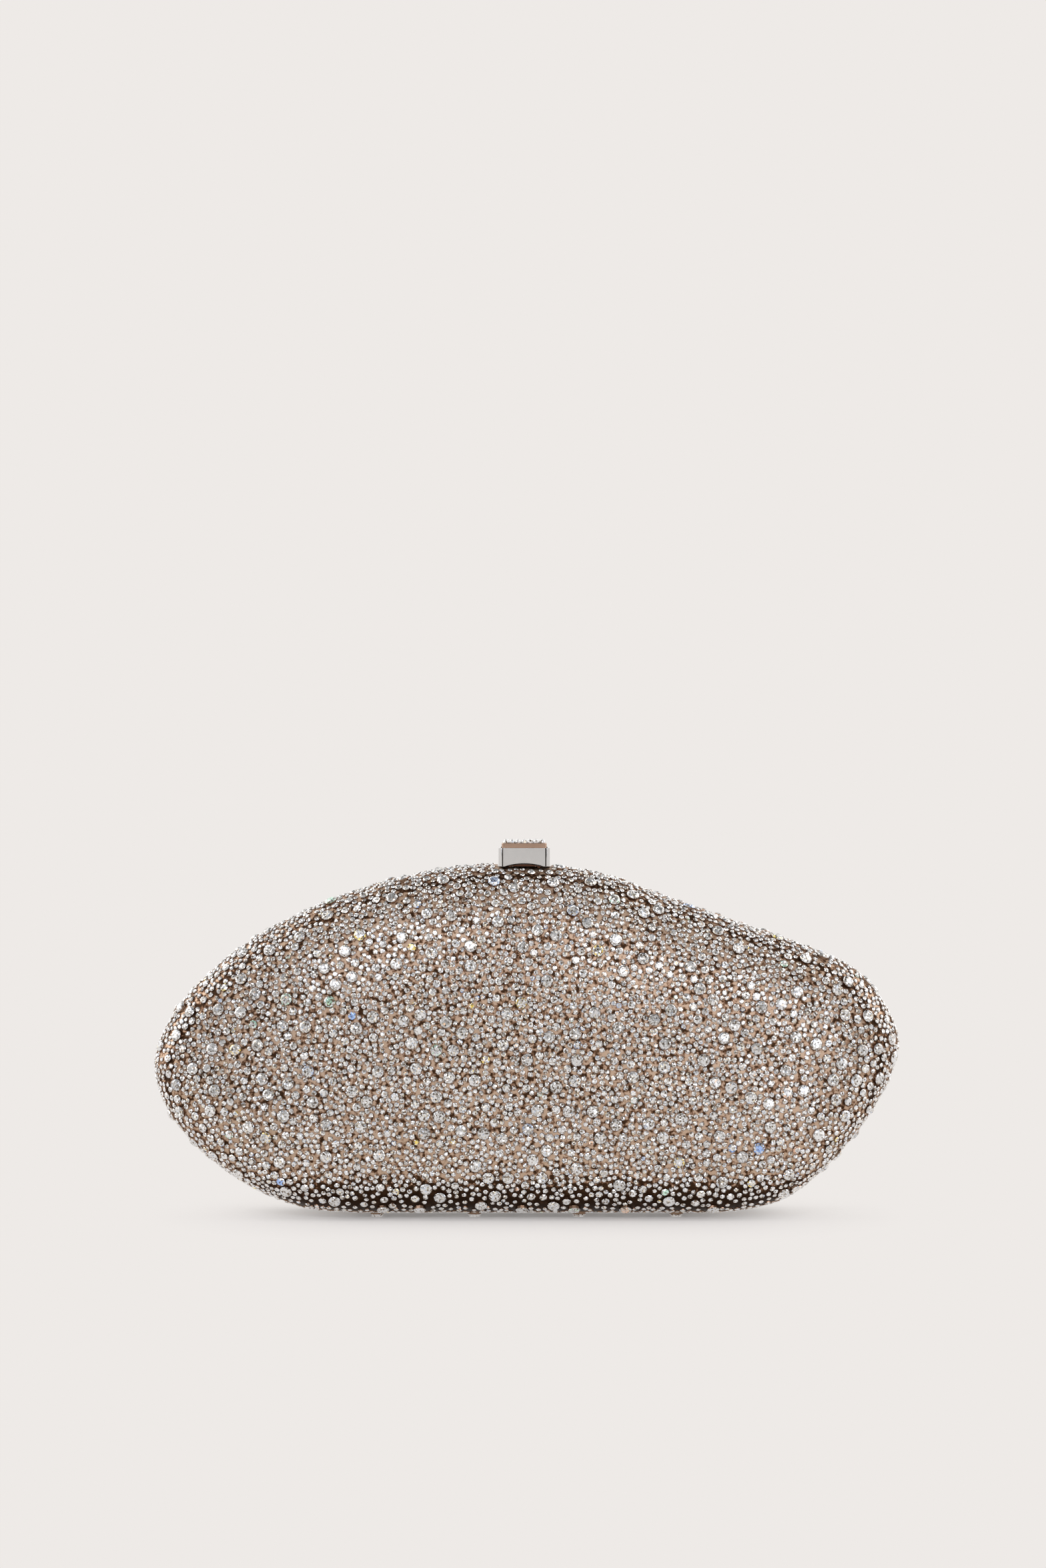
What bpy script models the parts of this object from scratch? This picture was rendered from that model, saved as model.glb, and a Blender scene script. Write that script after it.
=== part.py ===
"""A hard evening clutch: two domed metal half shells on a bottom hinge, held by a push-button clasp.

The bag stands on its long lower edge. X runs along its length, Y through its thickness and Z up.
The back half is fixed and lies at +Y, the front half lies at -Y and opens towards -Y.
All lengths are in metres.
"""

import math
import random

import bmesh
import bpy
from mathutils import Matrix, Vector
from mathutils.bvhtree import BVHTree

MM = 0.001
TAU = 2.0 * math.pi

# General fits
CLEARANCE = 0.3 * MM
STONE_SINK = 0.4 * MM
CUT_OVERRUN = 2.0 * MM
WELD_DISTANCE = 0.01 * MM

# Hinge, which also sets how high the shell stands
KNUCKLE_RADIUS = 1.4 * MM
KNUCKLE_FLOOR_GAP = 0.05 * MM
KNUCKLE_BORE_RADIUS = 0.8 * MM
KNUCKLE_COUNT = 7
HINGE_LENGTH = 100.0 * MM
HINGE_AXIS_RISE = 0.15 * MM
PIN_OVERHANG = 0.2 * MM
LEAF_THICKNESS = 0.7 * MM
LEAF_WIDTH = 7.5 * MM
LEAF_RIVET_COUNT = 3
LEAF_RIVET_RADIUS = 0.6 * MM
LEAF_RIVET_HEAD_RADIUS = 1.3 * MM
LEAF_RIVET_HEAD_HEIGHT = 0.5 * MM
HINGE_AXIS_Z = KNUCKLE_RADIUS + KNUCKLE_FLOOR_GAP

# Shell, without its stones
SHELL_LENGTH = 237.6 * MM
SHELL_HEIGHT = 110.5 * MM
SHELL_DEPTH = 25.8 * MM
SHELL_WALL = 1.2 * MM
SHELL_BASE_Z = HINGE_AXIS_Z - HINGE_AXIS_RISE
SHELL_CENTRE_SHARE = 0.45
SHELL_CENTRE_Z = SHELL_BASE_Z + SHELL_CENTRE_SHARE * SHELL_HEIGHT
STATIONS = 52
SHELL_RINGS = 5
# The dome's rings start this far round the quarter turn, past those at set depths.
FIRST_RING_SHARE = 0.25
# The side view as shares of the half length and of the height, from the middle of the base.
OUTLINE_SHARES = [
    (0.00, 0.000), (0.30, 0.000), (0.46, 0.000), (0.58, 0.008), (0.70, 0.045), (0.80, 0.130),
    (0.915, 0.270),
    (0.982, 0.400), (1.00, 0.485), (0.967, 0.590), (0.885, 0.695), (0.75, 0.763), (0.55, 0.838),
    (0.37, 0.908), (0.20, 0.973), (0.00, 1.000), (-0.20, 0.990), (-0.42, 0.937), (-0.63, 0.848),
    (-0.82, 0.718), (-0.955, 0.560), (-1.00, 0.425), (-0.965, 0.295), (-0.875, 0.180),
    (-0.74, 0.075), (-0.60, 0.016), (-0.44, 0.000), (-0.25, 0.000),
]
OUTLINE_STEPS = 24
# Stations stand closer where the outline turns: one radian of turn counts as this much length.
TURN_WEIGHT = 40.0 * MM
# How square the section is: full at the base, softer over the ends and the top. The blend goes by
# how steeply an outline point lies below the dome's middle, 0 for level and 1 for straight down.
SECTION_POWER_TOP = 2.5
SECTION_POWER_BASE = 5.0
BASE_BLEND_START_SHARE = -0.15
BASE_BLEND_SPAN_SHARE = 0.70

# Frames: the polished edge band of each half
PARTING_GAP = 0.3 * MM
FLANGE_THICKNESS = 0.8 * MM
FLANGE_INSET = 0.2 * MM
FRAME_WALL_INSET = 2.6 * MM
FRAME_WALL_THICKNESS = 0.8 * MM
FRAME_WALL_DEPTH = 2.55 * MM
LIP_THICKNESS = 0.6 * MM
LIP_REACH = 1.5 * MM
LIP_FOOT_Z = 12.0 * MM

# Linings: a covered moulded tray in each half
LINING_WALL = 0.8 * MM
LINING_RINGS = 3
LINING_INSET = FRAME_WALL_INSET + FRAME_WALL_THICKNESS + CLEARANCE

# Crystals
LARGE_STONE_RADIUS = 2.0 * MM
LARGE_STONE_TABLE = 1.25 * MM
LARGE_STONE_STAND = 1.2 * MM
LARGE_STONE_SPACING = 14.0 * MM
LARGE_STONE_MOST = 76
LARGE_STONE_TRIES = 60 * LARGE_STONE_MOST
# The underside keeps clear of large stones: no normal points further down than this.
LOWEST_STONE_NORMAL_Z = -0.75
STONE_SIDES = 5
STONE_SEED = 4
NORMAL_STEP_SHARE = 0.0005
AREA_SAMPLES_AROUND = 40
AREA_SAMPLES_ACROSS = 20
FOOT_STONE_RADIUS = 2.2 * MM
FOOT_STONE_TABLE = 1.5 * MM
FOOT_STONE_Y = 10.0 * MM
FOOT_STONE_X_SHARES = (-0.40, -0.14, 0.14, 0.40)
FOOT_STONE_SINK = 0.8 * MM
FOOT_STONE_HEIGHT = SHELL_BASE_Z + FOOT_STONE_SINK

# Clasp block on top of the back half
CLASP_X = -0.8 * MM
BLOCK_WIDTH = 16.3 * MM
BLOCK_DEPTH = 16.0 * MM
BLOCK_HEIGHT = 5.8 * MM
BLOCK_WALL = 0.7 * MM
BLOCK_CHAMFER = 0.9 * MM
BLOCK_FLOOR = 0.6 * MM
ARCH_WIDTH = 12.5 * MM
ARCH_HEIGHT = 1.0 * MM
ARCH_STEPS = 8
SEAT_DROP = 0.8 * MM
SEAT_MARGIN = 0.35 * MM

# Strike on the front half, caught by the catch
STRIKE_WIDTH = 11.8 * MM
STRIKE_CROWN = 0.65 * MM
STRIKE_EDGE = 0.35 * MM
STRIKE_PIN_RADIUS = 0.7 * MM
STRIKE_PIN_SPREAD = 9.2 * MM
STRIKE_PIN_Y = -5.2 * MM
STRIKE_PIN_TAIL = 0.5 * MM
STRIKE_NUT_RADIUS = 1.35 * MM
STRIKE_NUT_HEIGHT = 0.7 * MM
TONGUE_WIDTH = 6.8 * MM
TONGUE_DROP = 0.1 * MM
TONGUE_LIP_FRONT = 2.0 * MM
TONGUE_LIP_THICKNESS = 0.7 * MM
CATCH_ENGAGEMENT = 1.5 * MM

# Push button and catch
BUTTON_STAND = 1.8 * MM
BUTTON_TRAVEL = 1.8 * MM
BUTTON_PLATE = 0.8 * MM
BUTTON_SKIRT = 0.8 * MM
BUTTON_CHAMFER = 0.6 * MM
BUTTON_END_PLAY = 0.4 * MM
CATCH_STRIP = 0.8 * MM
CATCH_WIDTH = 5.0 * MM
CATCH_STEM_Y = 4.5 * MM
CATCH_SOCKET_WALL = 0.6 * MM
CATCH_PIN_RADIUS = 0.35 * MM
SMALL_STONE_RADIUS = 0.95 * MM
SMALL_STONE_TABLE = 0.6 * MM
SMALL_STONE_STAND = 0.5 * MM
SMALL_STONE_PITCH = 2.2 * MM
SMALL_STONE_ROWS = 6

# Spring under the button
SPRING_RADIUS = 2.8 * MM
SPRING_WIRE_RADIUS = 0.3 * MM
SPRING_TURNS = 3.5
SPRING_Y = -1.2 * MM
SPRING_POINTS_PER_TURN = 8

# Bracket and screws that carry the block inside the back half
BRACKET_WIDTH = 16.0 * MM
BRACKET_PLATE = 0.8 * MM
BRACKET_FRONT_Y = 2.4 * MM
BRACKET_BACK_Y = 8.0 * MM
SCREW_RADIUS = 0.8 * MM
SCREW_HEAD_RADIUS = 1.5 * MM
SCREW_HEAD_HEIGHT = 0.7 * MM
SCREW_SPREAD = 10.4 * MM
SCREW_Y = 5.2 * MM
ROUND_SIDES = 10
FASTENER_SIDES = 8

# Colours
BRONZE = (0.31, 0.20, 0.13)
BRONZE_BRIGHT = (0.50, 0.37, 0.27)
SILVER = (0.82, 0.81, 0.80)
STEEL = (0.62, 0.61, 0.60)
CRYSTAL = (0.90, 0.90, 0.92)
SATIN = (0.16, 0.10, 0.07)

for leftover in list(bpy.data.objects):
    bpy.data.objects.remove(leftover, do_unlink=True)

PARTS = bpy.data.collections.new("clutch_bag")
CUTTERS = bpy.data.collections.new("cutters")
bpy.context.scene.collection.children.link(PARTS)
bpy.context.scene.collection.children.link(CUTTERS)
CUTTERS.hide_render = True


def material(name, colour, metallic, roughness):
    """A Principled material with one colour."""
    made = bpy.data.materials.new(name)
    made.use_nodes = True
    shader = made.node_tree.nodes["Principled BSDF"]
    shader.inputs["Base Color"].default_value = (*colour, 1.0)
    shader.inputs["Metallic"].default_value = metallic
    shader.inputs["Roughness"].default_value = roughness
    made.diffuse_color = (*colour, 1.0)
    return made


BRONZE_METAL = material("bronze_plate", BRONZE, 1.0, 0.18)
BRIGHT_BRONZE_METAL = material("bright_bronze", BRONZE_BRIGHT, 1.0, 0.22)
SILVER_METAL = material("silver_plate", SILVER, 1.0, 0.08)
STEEL_METAL = material("steel", STEEL, 1.0, 0.35)
CRYSTAL_GLASS = material("crystal", CRYSTAL, 0.6, 0.05)
SATIN_CLOTH = material("satin_lining", SATIN, 0.0, 0.7)


# Objects, cutters and joins

def add_mesh_object(name, mesh, collection=PARTS, finish=None):
    """Link a mesh as an object, with its finish."""
    made = bpy.data.objects.new(name, mesh)
    collection.objects.link(made)
    if finish:
        mesh.materials.clear()
        mesh.materials.append(finish)
    return made


def mesh_from(name, bm):
    """Turn a bmesh into a mesh and free it."""
    mesh = bpy.data.meshes.new(name)
    bm.to_mesh(mesh)
    bm.free()
    return mesh


def helper(name, bm):
    """A cutter or a join piece, which is not a part."""
    made = add_mesh_object(name, mesh_from(name, bm), CUTTERS)
    made.hide_render = True
    made.display_type = "WIRE"
    return made


def box_mesh(low, high):
    """A box between two corners."""
    low, high = Vector(low), Vector(high)
    bm = bmesh.new()
    bmesh.ops.create_cube(bm, size=1.0)
    middle = Matrix.Translation((low + high) / 2.0)
    bm.transform(middle @ Matrix.Diagonal((*(high - low), 1.0)))
    return bm


def rod_mesh(radius, start, end, sides=ROUND_SIDES):
    """A closed cylinder from one point to another."""
    start, end = Vector(start), Vector(end)
    along = end - start
    turn = along.to_track_quat("Z", "Y").to_matrix().to_4x4()
    bm = bmesh.new()
    bmesh.ops.create_cone(
        bm, cap_ends=True, segments=sides, radius1=radius, radius2=radius, depth=along.length,
    )
    bm.transform(Matrix.Translation((start + end) / 2.0) @ turn)
    return bm


def boolean(target, other, operation):
    """Cut or join one helper, as a live modifier."""
    modifier = target.modifiers.new(other.name, "BOOLEAN")
    modifier.operation = operation
    modifier.solver = "EXACT"
    modifier.object = other


def cut(target, *others):
    for other in others:
        boolean(target, other, "DIFFERENCE")


def join(target, *others):
    for other in others:
        boolean(target, other, "UNION")


def extruded(name, loops, low, high, to_world, collection, finish=None):
    """Flat outlines filled as a 2D curve, given a thickness from low to high along their normal."""
    curve = bpy.data.curves.new(name + "_outline", "CURVE")
    curve.dimensions = "2D"
    curve.fill_mode = "BOTH"
    curve.extrude = (high - low) / 2.0
    for loop in loops:
        spline = curve.splines.new("POLY")
        spline.points.add(len(loop) - 1)
        for point, place in zip(spline.points, loop):
            point.co = (*place, 0.0, 1.0)
        spline.use_cyclic_u = True
    middle = Matrix.Translation((0.0, 0.0, (low + high) / 2.0))
    return meshed_curve(name, curve, to_world @ middle, collection, finish)


def meshed_curve(name, curve, to_world, collection, finish=None):
    """Turn a curve into a welded mesh object in world coordinates."""
    drawn = bpy.data.objects.new(name + "_curve", curve)
    bpy.context.scene.collection.objects.link(drawn)
    bpy.context.view_layer.update()
    graph = bpy.context.evaluated_depsgraph_get()
    mesh = bpy.data.meshes.new_from_object(drawn.evaluated_get(graph))
    bpy.data.objects.remove(drawn, do_unlink=True)
    bm = bmesh.new()
    bm.from_mesh(mesh)
    bmesh.ops.remove_doubles(bm, verts=bm.verts, dist=WELD_DISTANCE)
    bm.transform(to_world)
    bmesh.ops.recalc_face_normals(bm, faces=bm.faces)
    bpy.data.meshes.remove(mesh)
    made = add_mesh_object(name, mesh_from(name, bm), collection, finish)
    if collection == CUTTERS:
        made.hide_render = True
        made.display_type = "WIRE"
    return made


def turned_mesh(name, profile, sides=FASTENER_SIDES, closed=False):
    """A mesh turned about Z from (radius, height) points that run down the outer side."""
    bm = bmesh.new()
    points = [bm.verts.new((radius, 0.0, height)) for radius, height in profile]
    for first, second in zip(points, points[1:]):
        bm.edges.new((first, second))
    if closed:
        bm.edges.new((points[-1], points[0]))
    drawn = add_mesh_object(name + "_profile", mesh_from(name, bm), CUTTERS)
    screw = drawn.modifiers.new("turn", "SCREW")
    screw.steps = sides
    screw.render_steps = sides
    screw.use_merge_vertices = True
    screw.merge_threshold = WELD_DISTANCE
    bpy.context.view_layer.update()
    graph = bpy.context.evaluated_depsgraph_get()
    mesh = bpy.data.meshes.new_from_object(drawn.evaluated_get(graph))
    bpy.data.objects.remove(drawn, do_unlink=True)
    return mesh


def fasteners(name, mesh, places, finish):
    """A fastener of its own at each place, all on one mesh."""
    made = []
    for number, place in enumerate(places, start=1):
        piece = add_mesh_object(f"{name}_{number}", mesh, PARTS, finish)
        piece.location = place
        made.append(piece)
    return made


def stones_to_set(name, radius, table, height, matrices):
    """A join piece with a faceted stone at each place, its flat table up."""
    bm = bmesh.new()
    for matrix in matrices:
        bmesh.ops.create_cone(
            bm, cap_ends=True, segments=STONE_SIDES, radius1=radius, radius2=table, depth=height,
            matrix=matrix @ Matrix.Translation((0.0, 0.0, height / 2.0)),
        )
    made = helper(name, bm)
    made.data.materials.append(CRYSTAL_GLASS)
    return made


def set_stones(target, stones):
    """Fuse stones with the piece that carries them, in their own material."""
    join(target, stones)
    target.modifiers[-1].material_mode = "TRANSFER"


# The pebble surface

def spline_points(places, steps):
    """A closed centripetal Catmull-Rom curve through the places."""
    made = []
    count = len(places)
    for index in range(count):
        a, b, c, d = (Vector(places[(index + shift) % count]) for shift in (-1, 0, 1, 2))
        t1 = math.sqrt((b - a).length)
        t2 = t1 + math.sqrt((c - b).length)
        t3 = t2 + math.sqrt((d - c).length)
        for step in range(steps):
            t = t1 + (t2 - t1) * step / steps
            ab = a.lerp(b, t / t1)
            bc = b.lerp(c, (t - t1) / (t2 - t1))
            cd = c.lerp(d, (t - t2) / (t3 - t2))
            abc = ab.lerp(bc, t / t2)
            bcd = bc.lerp(cd, (t - t1) / (t3 - t1))
            made.append(abc.lerp(bcd, (t - t1) / (t2 - t1)))
    return made


def fine_outline():
    """The shell's side view as a fine closed line of (x, z) points."""
    half = SHELL_LENGTH / 2.0
    places = [(x * half, z * SHELL_HEIGHT) for x, z in OUTLINE_SHARES]
    line = spline_points(places, OUTLINE_STEPS)
    return [Vector((point.x, SHELL_BASE_Z + max(point.y, 0.0))) for point in line]


FINE_OUTLINE = fine_outline()


def lengths_along(line):
    """How far each point is along a closed line, turns counted too, and the whole way last."""
    total = [0.0]
    for index, point in enumerate(line):
        ahead = line[(index + 1) % len(line)]
        turn = (point - line[index - 1]).angle(ahead - point, 0.0)
        total.append(total[-1] + (ahead - point).length + TURN_WEIGHT * turn)
    return total


OUTLINE_LENGTHS = lengths_along(FINE_OUTLINE)


def outline_at(share):
    """The outline's point and outward direction at a share of its length."""
    wanted = (share % 1.0) * OUTLINE_LENGTHS[-1]
    low, high = 0, len(FINE_OUTLINE)
    while high - low > 1:
        middle = (low + high) // 2
        if OUTLINE_LENGTHS[middle] <= wanted:
            low = middle
        else:
            high = middle
    count = len(FINE_OUTLINE)
    before, after = FINE_OUTLINE[low - 1], FINE_OUTLINE[(low + 2) % count]
    here, there = FINE_OUTLINE[low], FINE_OUTLINE[(low + 1) % count]
    part = (wanted - OUTLINE_LENGTHS[low]) / (OUTLINE_LENGTHS[low + 1] - OUTLINE_LENGTHS[low])
    along = (there - before).lerp(after - here, part).normalized()
    return here.lerp(there, part), Vector((along.y, -along.x))


def outline_loop(inset):
    """The stations: (x, z) points on the outline, moved inwards."""
    loop = []
    for index in range(STATIONS):
        point, outward = outline_at(index / STATIONS)
        loop.append(point - outward * inset)
    return loop


def section_power(edge):
    """The section's exponent for an outline point, blended without a crease."""
    below = SHELL_CENTRE_Z - edge.y
    blend = (below / math.hypot(edge.x, below) - BASE_BLEND_START_SHARE) / BASE_BLEND_SPAN_SHARE
    blend = min(max(blend, 0.0), 1.0)
    blend = blend ** 3 * (blend * (6.0 * blend - 15.0) + 10.0)
    return SECTION_POWER_TOP + (SECTION_POWER_BASE - SECTION_POWER_TOP) * blend


def dome_point(edge, angle, depth, side):
    """A point of the dome over an outline point, from angle 0 at the edge to a quarter turn."""
    power = section_power(edge)
    reach = max(math.cos(angle), 0.0) ** (2.0 / power)
    y = depth * math.sin(angle) ** (2.0 / power)
    x = edge.x * reach
    z = SHELL_CENTRE_Z + (edge.y - SHELL_CENTRE_Z) * reach
    return Vector((x, side * y, z))


def angle_at_depth(edge, y, depth):
    """The dome angle at which an outline point's section is y deep."""
    return math.asin(min((y / depth) ** (section_power(edge) / 2.0), 1.0))


def dome(name, side, inset, depth, depths, rings, wall, finish):
    """Half a pebble as a hollow dome: a half sphere whose points move onto the section curves.

    Its first rings lie at set depths, and the others spread over the rest of the quarter turn.
    """
    loop = outline_loop(inset)
    bands = 2 * (len(depths) + rings)
    bm = bmesh.new()
    bmesh.ops.create_uvsphere(bm, u_segments=STATIONS, v_segments=bands, radius=1.0)
    bmesh.ops.rotate(bm, verts=bm.verts, matrix=Matrix.Rotation(math.pi / 2.0, 3, "X"))
    latitude_step = math.pi / bands
    spare = [vert for vert in bm.verts if vert.co.y * side < -math.sin(latitude_step / 2.0)]
    bmesh.ops.delete(bm, geom=spare, context="VERTS")
    for vert in bm.verts:
        ring = round(math.asin(max(min(vert.co.y * side, 1.0), -1.0)) / latitude_step)
        station = round(math.atan2(vert.co.z, vert.co.x) / TAU * STATIONS) % STATIONS
        edge = loop[station]
        if ring < len(depths):
            angle = angle_at_depth(edge, depths[ring], depth)
        else:
            share = FIRST_RING_SHARE + (1.0 - FIRST_RING_SHARE) * (ring - len(depths)) / rings
            angle = share * TAU / 4.0
        vert.co = dome_point(edge, angle, depth, side)
    made = add_mesh_object(name, mesh_from(name, bm), PARTS, finish)
    solid = made.modifiers.new("wall", "SOLIDIFY")
    solid.thickness = wall
    solid.offset = -1.0
    solid.use_even_offset = True
    return made


def surface_at(share, angle, side):
    """A point of the shell's outside, its outward normal, and how much area it stands for."""
    edge = outline_at(share)[0]
    point = dome_point(edge, angle, SHELL_DEPTH, side)
    ahead = dome_point(outline_at(share + NORMAL_STEP_SHARE)[0], angle, SHELL_DEPTH, side)
    behind = dome_point(outline_at(share - NORMAL_STEP_SHARE)[0], angle, SHELL_DEPTH, side)
    deeper = dome_point(edge, min(angle + NORMAL_STEP_SHARE, TAU / 4.0), SHELL_DEPTH, side)
    nearer = dome_point(edge, max(angle - NORMAL_STEP_SHARE, 0.0), SHELL_DEPTH, side)
    around, across = ahead - behind, deeper - nearer
    normal = around.cross(across)
    size = normal.length
    if size == 0.0:
        return point, Vector((0.0, side, 0.0)), 0.0
    normal /= size
    if normal.dot(point - Vector((0.0, 0.0, SHELL_CENTRE_Z))) < 0.0:
        normal = -normal
    return point, normal, size


def outline_top_z(x):
    """The height of the outline's upper side at x, along the chord between two stations."""
    loop = outline_loop(0.0)
    for here, there in zip(loop, loop[1:]):
        if here.x >= x > there.x:
            return here.y + (there.y - here.y) * (here.x - x) / (here.x - there.x)
    return loop[-1].y


def crown_z(x, y):
    """The shell's outer height at x near the clasp, y away from the parting plane."""
    edge = Vector((x, outline_top_z(x)))
    return dome_point(edge, angle_at_depth(edge, abs(y), SHELL_DEPTH), SHELL_DEPTH, 1).z


def facet_z(x, y):
    """The shell's outer height near the clasp, along the facet between its second and third rings."""
    near, far = SHELL_RING_DEPTHS[1:]
    part = (abs(y) - near) / (far - near)
    return crown_z(x, near) + (crown_z(x, far) - crown_z(x, near)) * part


def facet_under_z(half_width, y):
    """The highest a piece of this half width can reach inside the shell, near the clasp."""
    lowest = min(facet_z(CLASP_X + way * half_width, y) for way in (-1, 1))
    return lowest - SHELL_WALL - CLEARANCE


# Depths that the dome's first rings share with the frame's edge and the hinge leaf
EDGE_Y = PARTING_GAP / 2.0 + FLANGE_THICKNESS + CLEARANCE
LEAF_BACK_Y = EDGE_Y + CLEARANCE
LEAF_FAR_Y = LEAF_BACK_Y + LEAF_WIDTH
SHELL_RING_DEPTHS = (EDGE_Y, 2.0 * EDGE_Y, LEAF_FAR_Y + CLEARANCE)


# Heights of the clasp, worked out from the crown of the shell
CROWN_Z = crown_z(CLASP_X, 0.0)
SEAT_Z = CROWN_Z - SEAT_DROP
BLOCK_BASE_Z = SEAT_Z + CLEARANCE
BLOCK_TOP_Z = BLOCK_BASE_Z + BLOCK_HEIGHT
FLOOR_LOW_Z = BLOCK_BASE_Z + ARCH_HEIGHT + CLEARANCE
FLOOR_TOP_Z = FLOOR_LOW_Z + BLOCK_FLOOR
CAP_TOP_Z = BLOCK_TOP_Z + BUTTON_STAND
CAP_UNDER_Z = CAP_TOP_Z - BUTTON_PLATE
SKIRT_LOW_Z = FLOOR_TOP_Z + BUTTON_TRAVEL + BUTTON_END_PLAY
NOSE_TOP_Z = BLOCK_BASE_Z - CLEARANCE
LIP_LOW_Z = NOSE_TOP_Z - CATCH_ENGAGEMENT
BRACKET_ENDS_Z = min(outline_top_z(CLASP_X + way * BRACKET_WIDTH / 2.0) for way in (-1, 1))
FRAME_WALL_LOW_Z = BRACKET_ENDS_Z - FRAME_WALL_INSET - FRAME_WALL_THICKNESS
BRACKET_TOP_Z = FRAME_WALL_LOW_Z - CLEARANCE
BRACKET_LOW_Z = BRACKET_TOP_Z - BRACKET_PLATE
SCREW_HEAD_LOW_Z = BRACKET_LOW_Z - CLEARANCE - SCREW_HEAD_HEIGHT
CATCH_ARM_TOP_Z = BRACKET_LOW_Z - CLEARANCE
CATCH_ARM_LOW_Z = CATCH_ARM_TOP_Z - CATCH_STRIP
WELL_LOW_Z = CATCH_ARM_LOW_Z - BUTTON_TRAVEL - CLEARANCE
BUTTON_WIDTH = BLOCK_WIDTH - 2.0 * (BLOCK_WALL + CLEARANCE)
BUTTON_DEPTH = BLOCK_DEPTH - 2.0 * (BLOCK_WALL + CLEARANCE)
SEAT_HALF_WIDTH = BLOCK_WIDTH / 2.0 + SEAT_MARGIN
SEAT_HALF_DEPTH = BLOCK_DEPTH / 2.0 + SEAT_MARGIN
CATCH_STEM_FRONT = CATCH_STEM_Y - CATCH_STRIP / 2.0
CATCH_STEM_BACK = CATCH_STEM_Y + CATCH_STRIP / 2.0
CATCH_PIN_Z = (SKIRT_LOW_Z + CAP_UNDER_Z) / 2.0
NOSE_FRONT = TONGUE_LIP_FRONT - CLEARANCE - CATCH_STRIP
ABOVE_ALL_Z = CAP_TOP_Z + CUT_OVERRUN


def at_clasp(offset):
    """An x place counted from the clasp's middle."""
    return CLASP_X + offset


def clasp_box(name, half_width, y_low, y_high, z_low, z_high):
    """A box helper centred on the clasp in x."""
    low = (at_clasp(-half_width), y_low, z_low)
    return helper(name, box_mesh(low, (at_clasp(half_width), y_high, z_high)))


# Cutters that several pieces share
SEAT_CUTTER = clasp_box(
    "seat_cutter", SEAT_HALF_WIDTH, -SEAT_HALF_DEPTH, SEAT_HALF_DEPTH, SEAT_Z, ABOVE_ALL_Z,
)
HINGE_CHANNEL_Y = EDGE_Y + LEAF_THICKNESS
LEAF_LOW_Z = SHELL_BASE_Z + SHELL_WALL + CLEARANCE
LEAF_TOP_Z = LEAF_LOW_Z + LEAF_THICKNESS
HINGE_CHANNEL_CUTTER = helper("hinge_channel_cutter", box_mesh(
    (-HINGE_LENGTH / 2.0 - CLEARANCE - PIN_OVERHANG, -HINGE_CHANNEL_Y, -CUT_OVERRUN),
    (HINGE_LENGTH / 2.0 + CLEARANCE + PIN_OVERHANG, HINGE_CHANNEL_Y, LEAF_TOP_Z + CLEARANCE),
))
CATCH_SLOT_CUTTER = clasp_box(
    "catch_slot_cutter", CATCH_WIDTH / 2.0 + CLEARANCE, CATCH_STEM_FRONT - CLEARANCE,
    CATCH_STEM_BACK + CLEARANCE, WELL_LOW_Z, CAP_UNDER_Z,
)
CATCH_WINDOW_CUTTER = clasp_box(
    "catch_window_cutter", TONGUE_WIDTH / 2.0 + 2.0 * CLEARANCE, -CUT_OVERRUN, CATCH_STEM_FRONT,
    WELL_LOW_Z, ABOVE_ALL_Z,
)
WELL_CUTTER = clasp_box(
    "well_cutter", SEAT_HALF_WIDTH + CLEARANCE, -CUT_OVERRUN, SEAT_HALF_DEPTH + SHELL_WALL,
    WELL_LOW_Z, ABOVE_ALL_Z,
)
CATCH_PIN_CUTTER = helper("catch_pin_hole", rod_mesh(
    CATCH_PIN_RADIUS + CLEARANCE, (CLASP_X, CATCH_STEM_FRONT - CUT_OVERRUN, CATCH_PIN_Z),
    (CLASP_X, BUTTON_DEPTH / 2.0 - BUTTON_SKIRT, CATCH_PIN_Z),
))


def rod_helpers(name, radius, places, z_low, z_high):
    """Upright round cutters at (x, y) places."""
    made = []
    for number, (x, y) in enumerate(places):
        rod = rod_mesh(radius, (x, y, z_low), (x, y, z_high))
        made.append(helper(f"{name}_{number}", rod))
    return made


SCREW_PLACES = [(at_clasp(way * SCREW_SPREAD / 2.0), SCREW_Y) for way in (-1, 1)]
SCREW_CUTTERS = rod_helpers(
    "screw_hole", SCREW_RADIUS + CLEARANCE, SCREW_PLACES, WELL_LOW_Z, FLOOR_TOP_Z + CUT_OVERRUN,
)
STRIKE_PIN_PLACES = [(at_clasp(way * STRIKE_PIN_SPREAD / 2.0), STRIKE_PIN_Y) for way in (-1, 1)]
STRIKE_PIN_CUTTERS = rod_helpers(
    "strike_pin_hole", STRIKE_PIN_RADIUS + CLEARANCE, STRIKE_PIN_PLACES, WELL_LOW_Z, ABOVE_ALL_Z,
)
LEAF_RIVET_Y = (LEAF_BACK_Y + LEAF_FAR_Y) / 2.0 + LEAF_RIVET_HEAD_RADIUS


def leaf_rivet_places(side):
    """The rivets stand evenly along the leaf."""
    pitch = HINGE_LENGTH / LEAF_RIVET_COUNT
    first = -HINGE_LENGTH / 2.0 + pitch / 2.0
    return [(first + pitch * number, side * LEAF_RIVET_Y) for number in range(LEAF_RIVET_COUNT)]


# Shells, frames and linings

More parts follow.
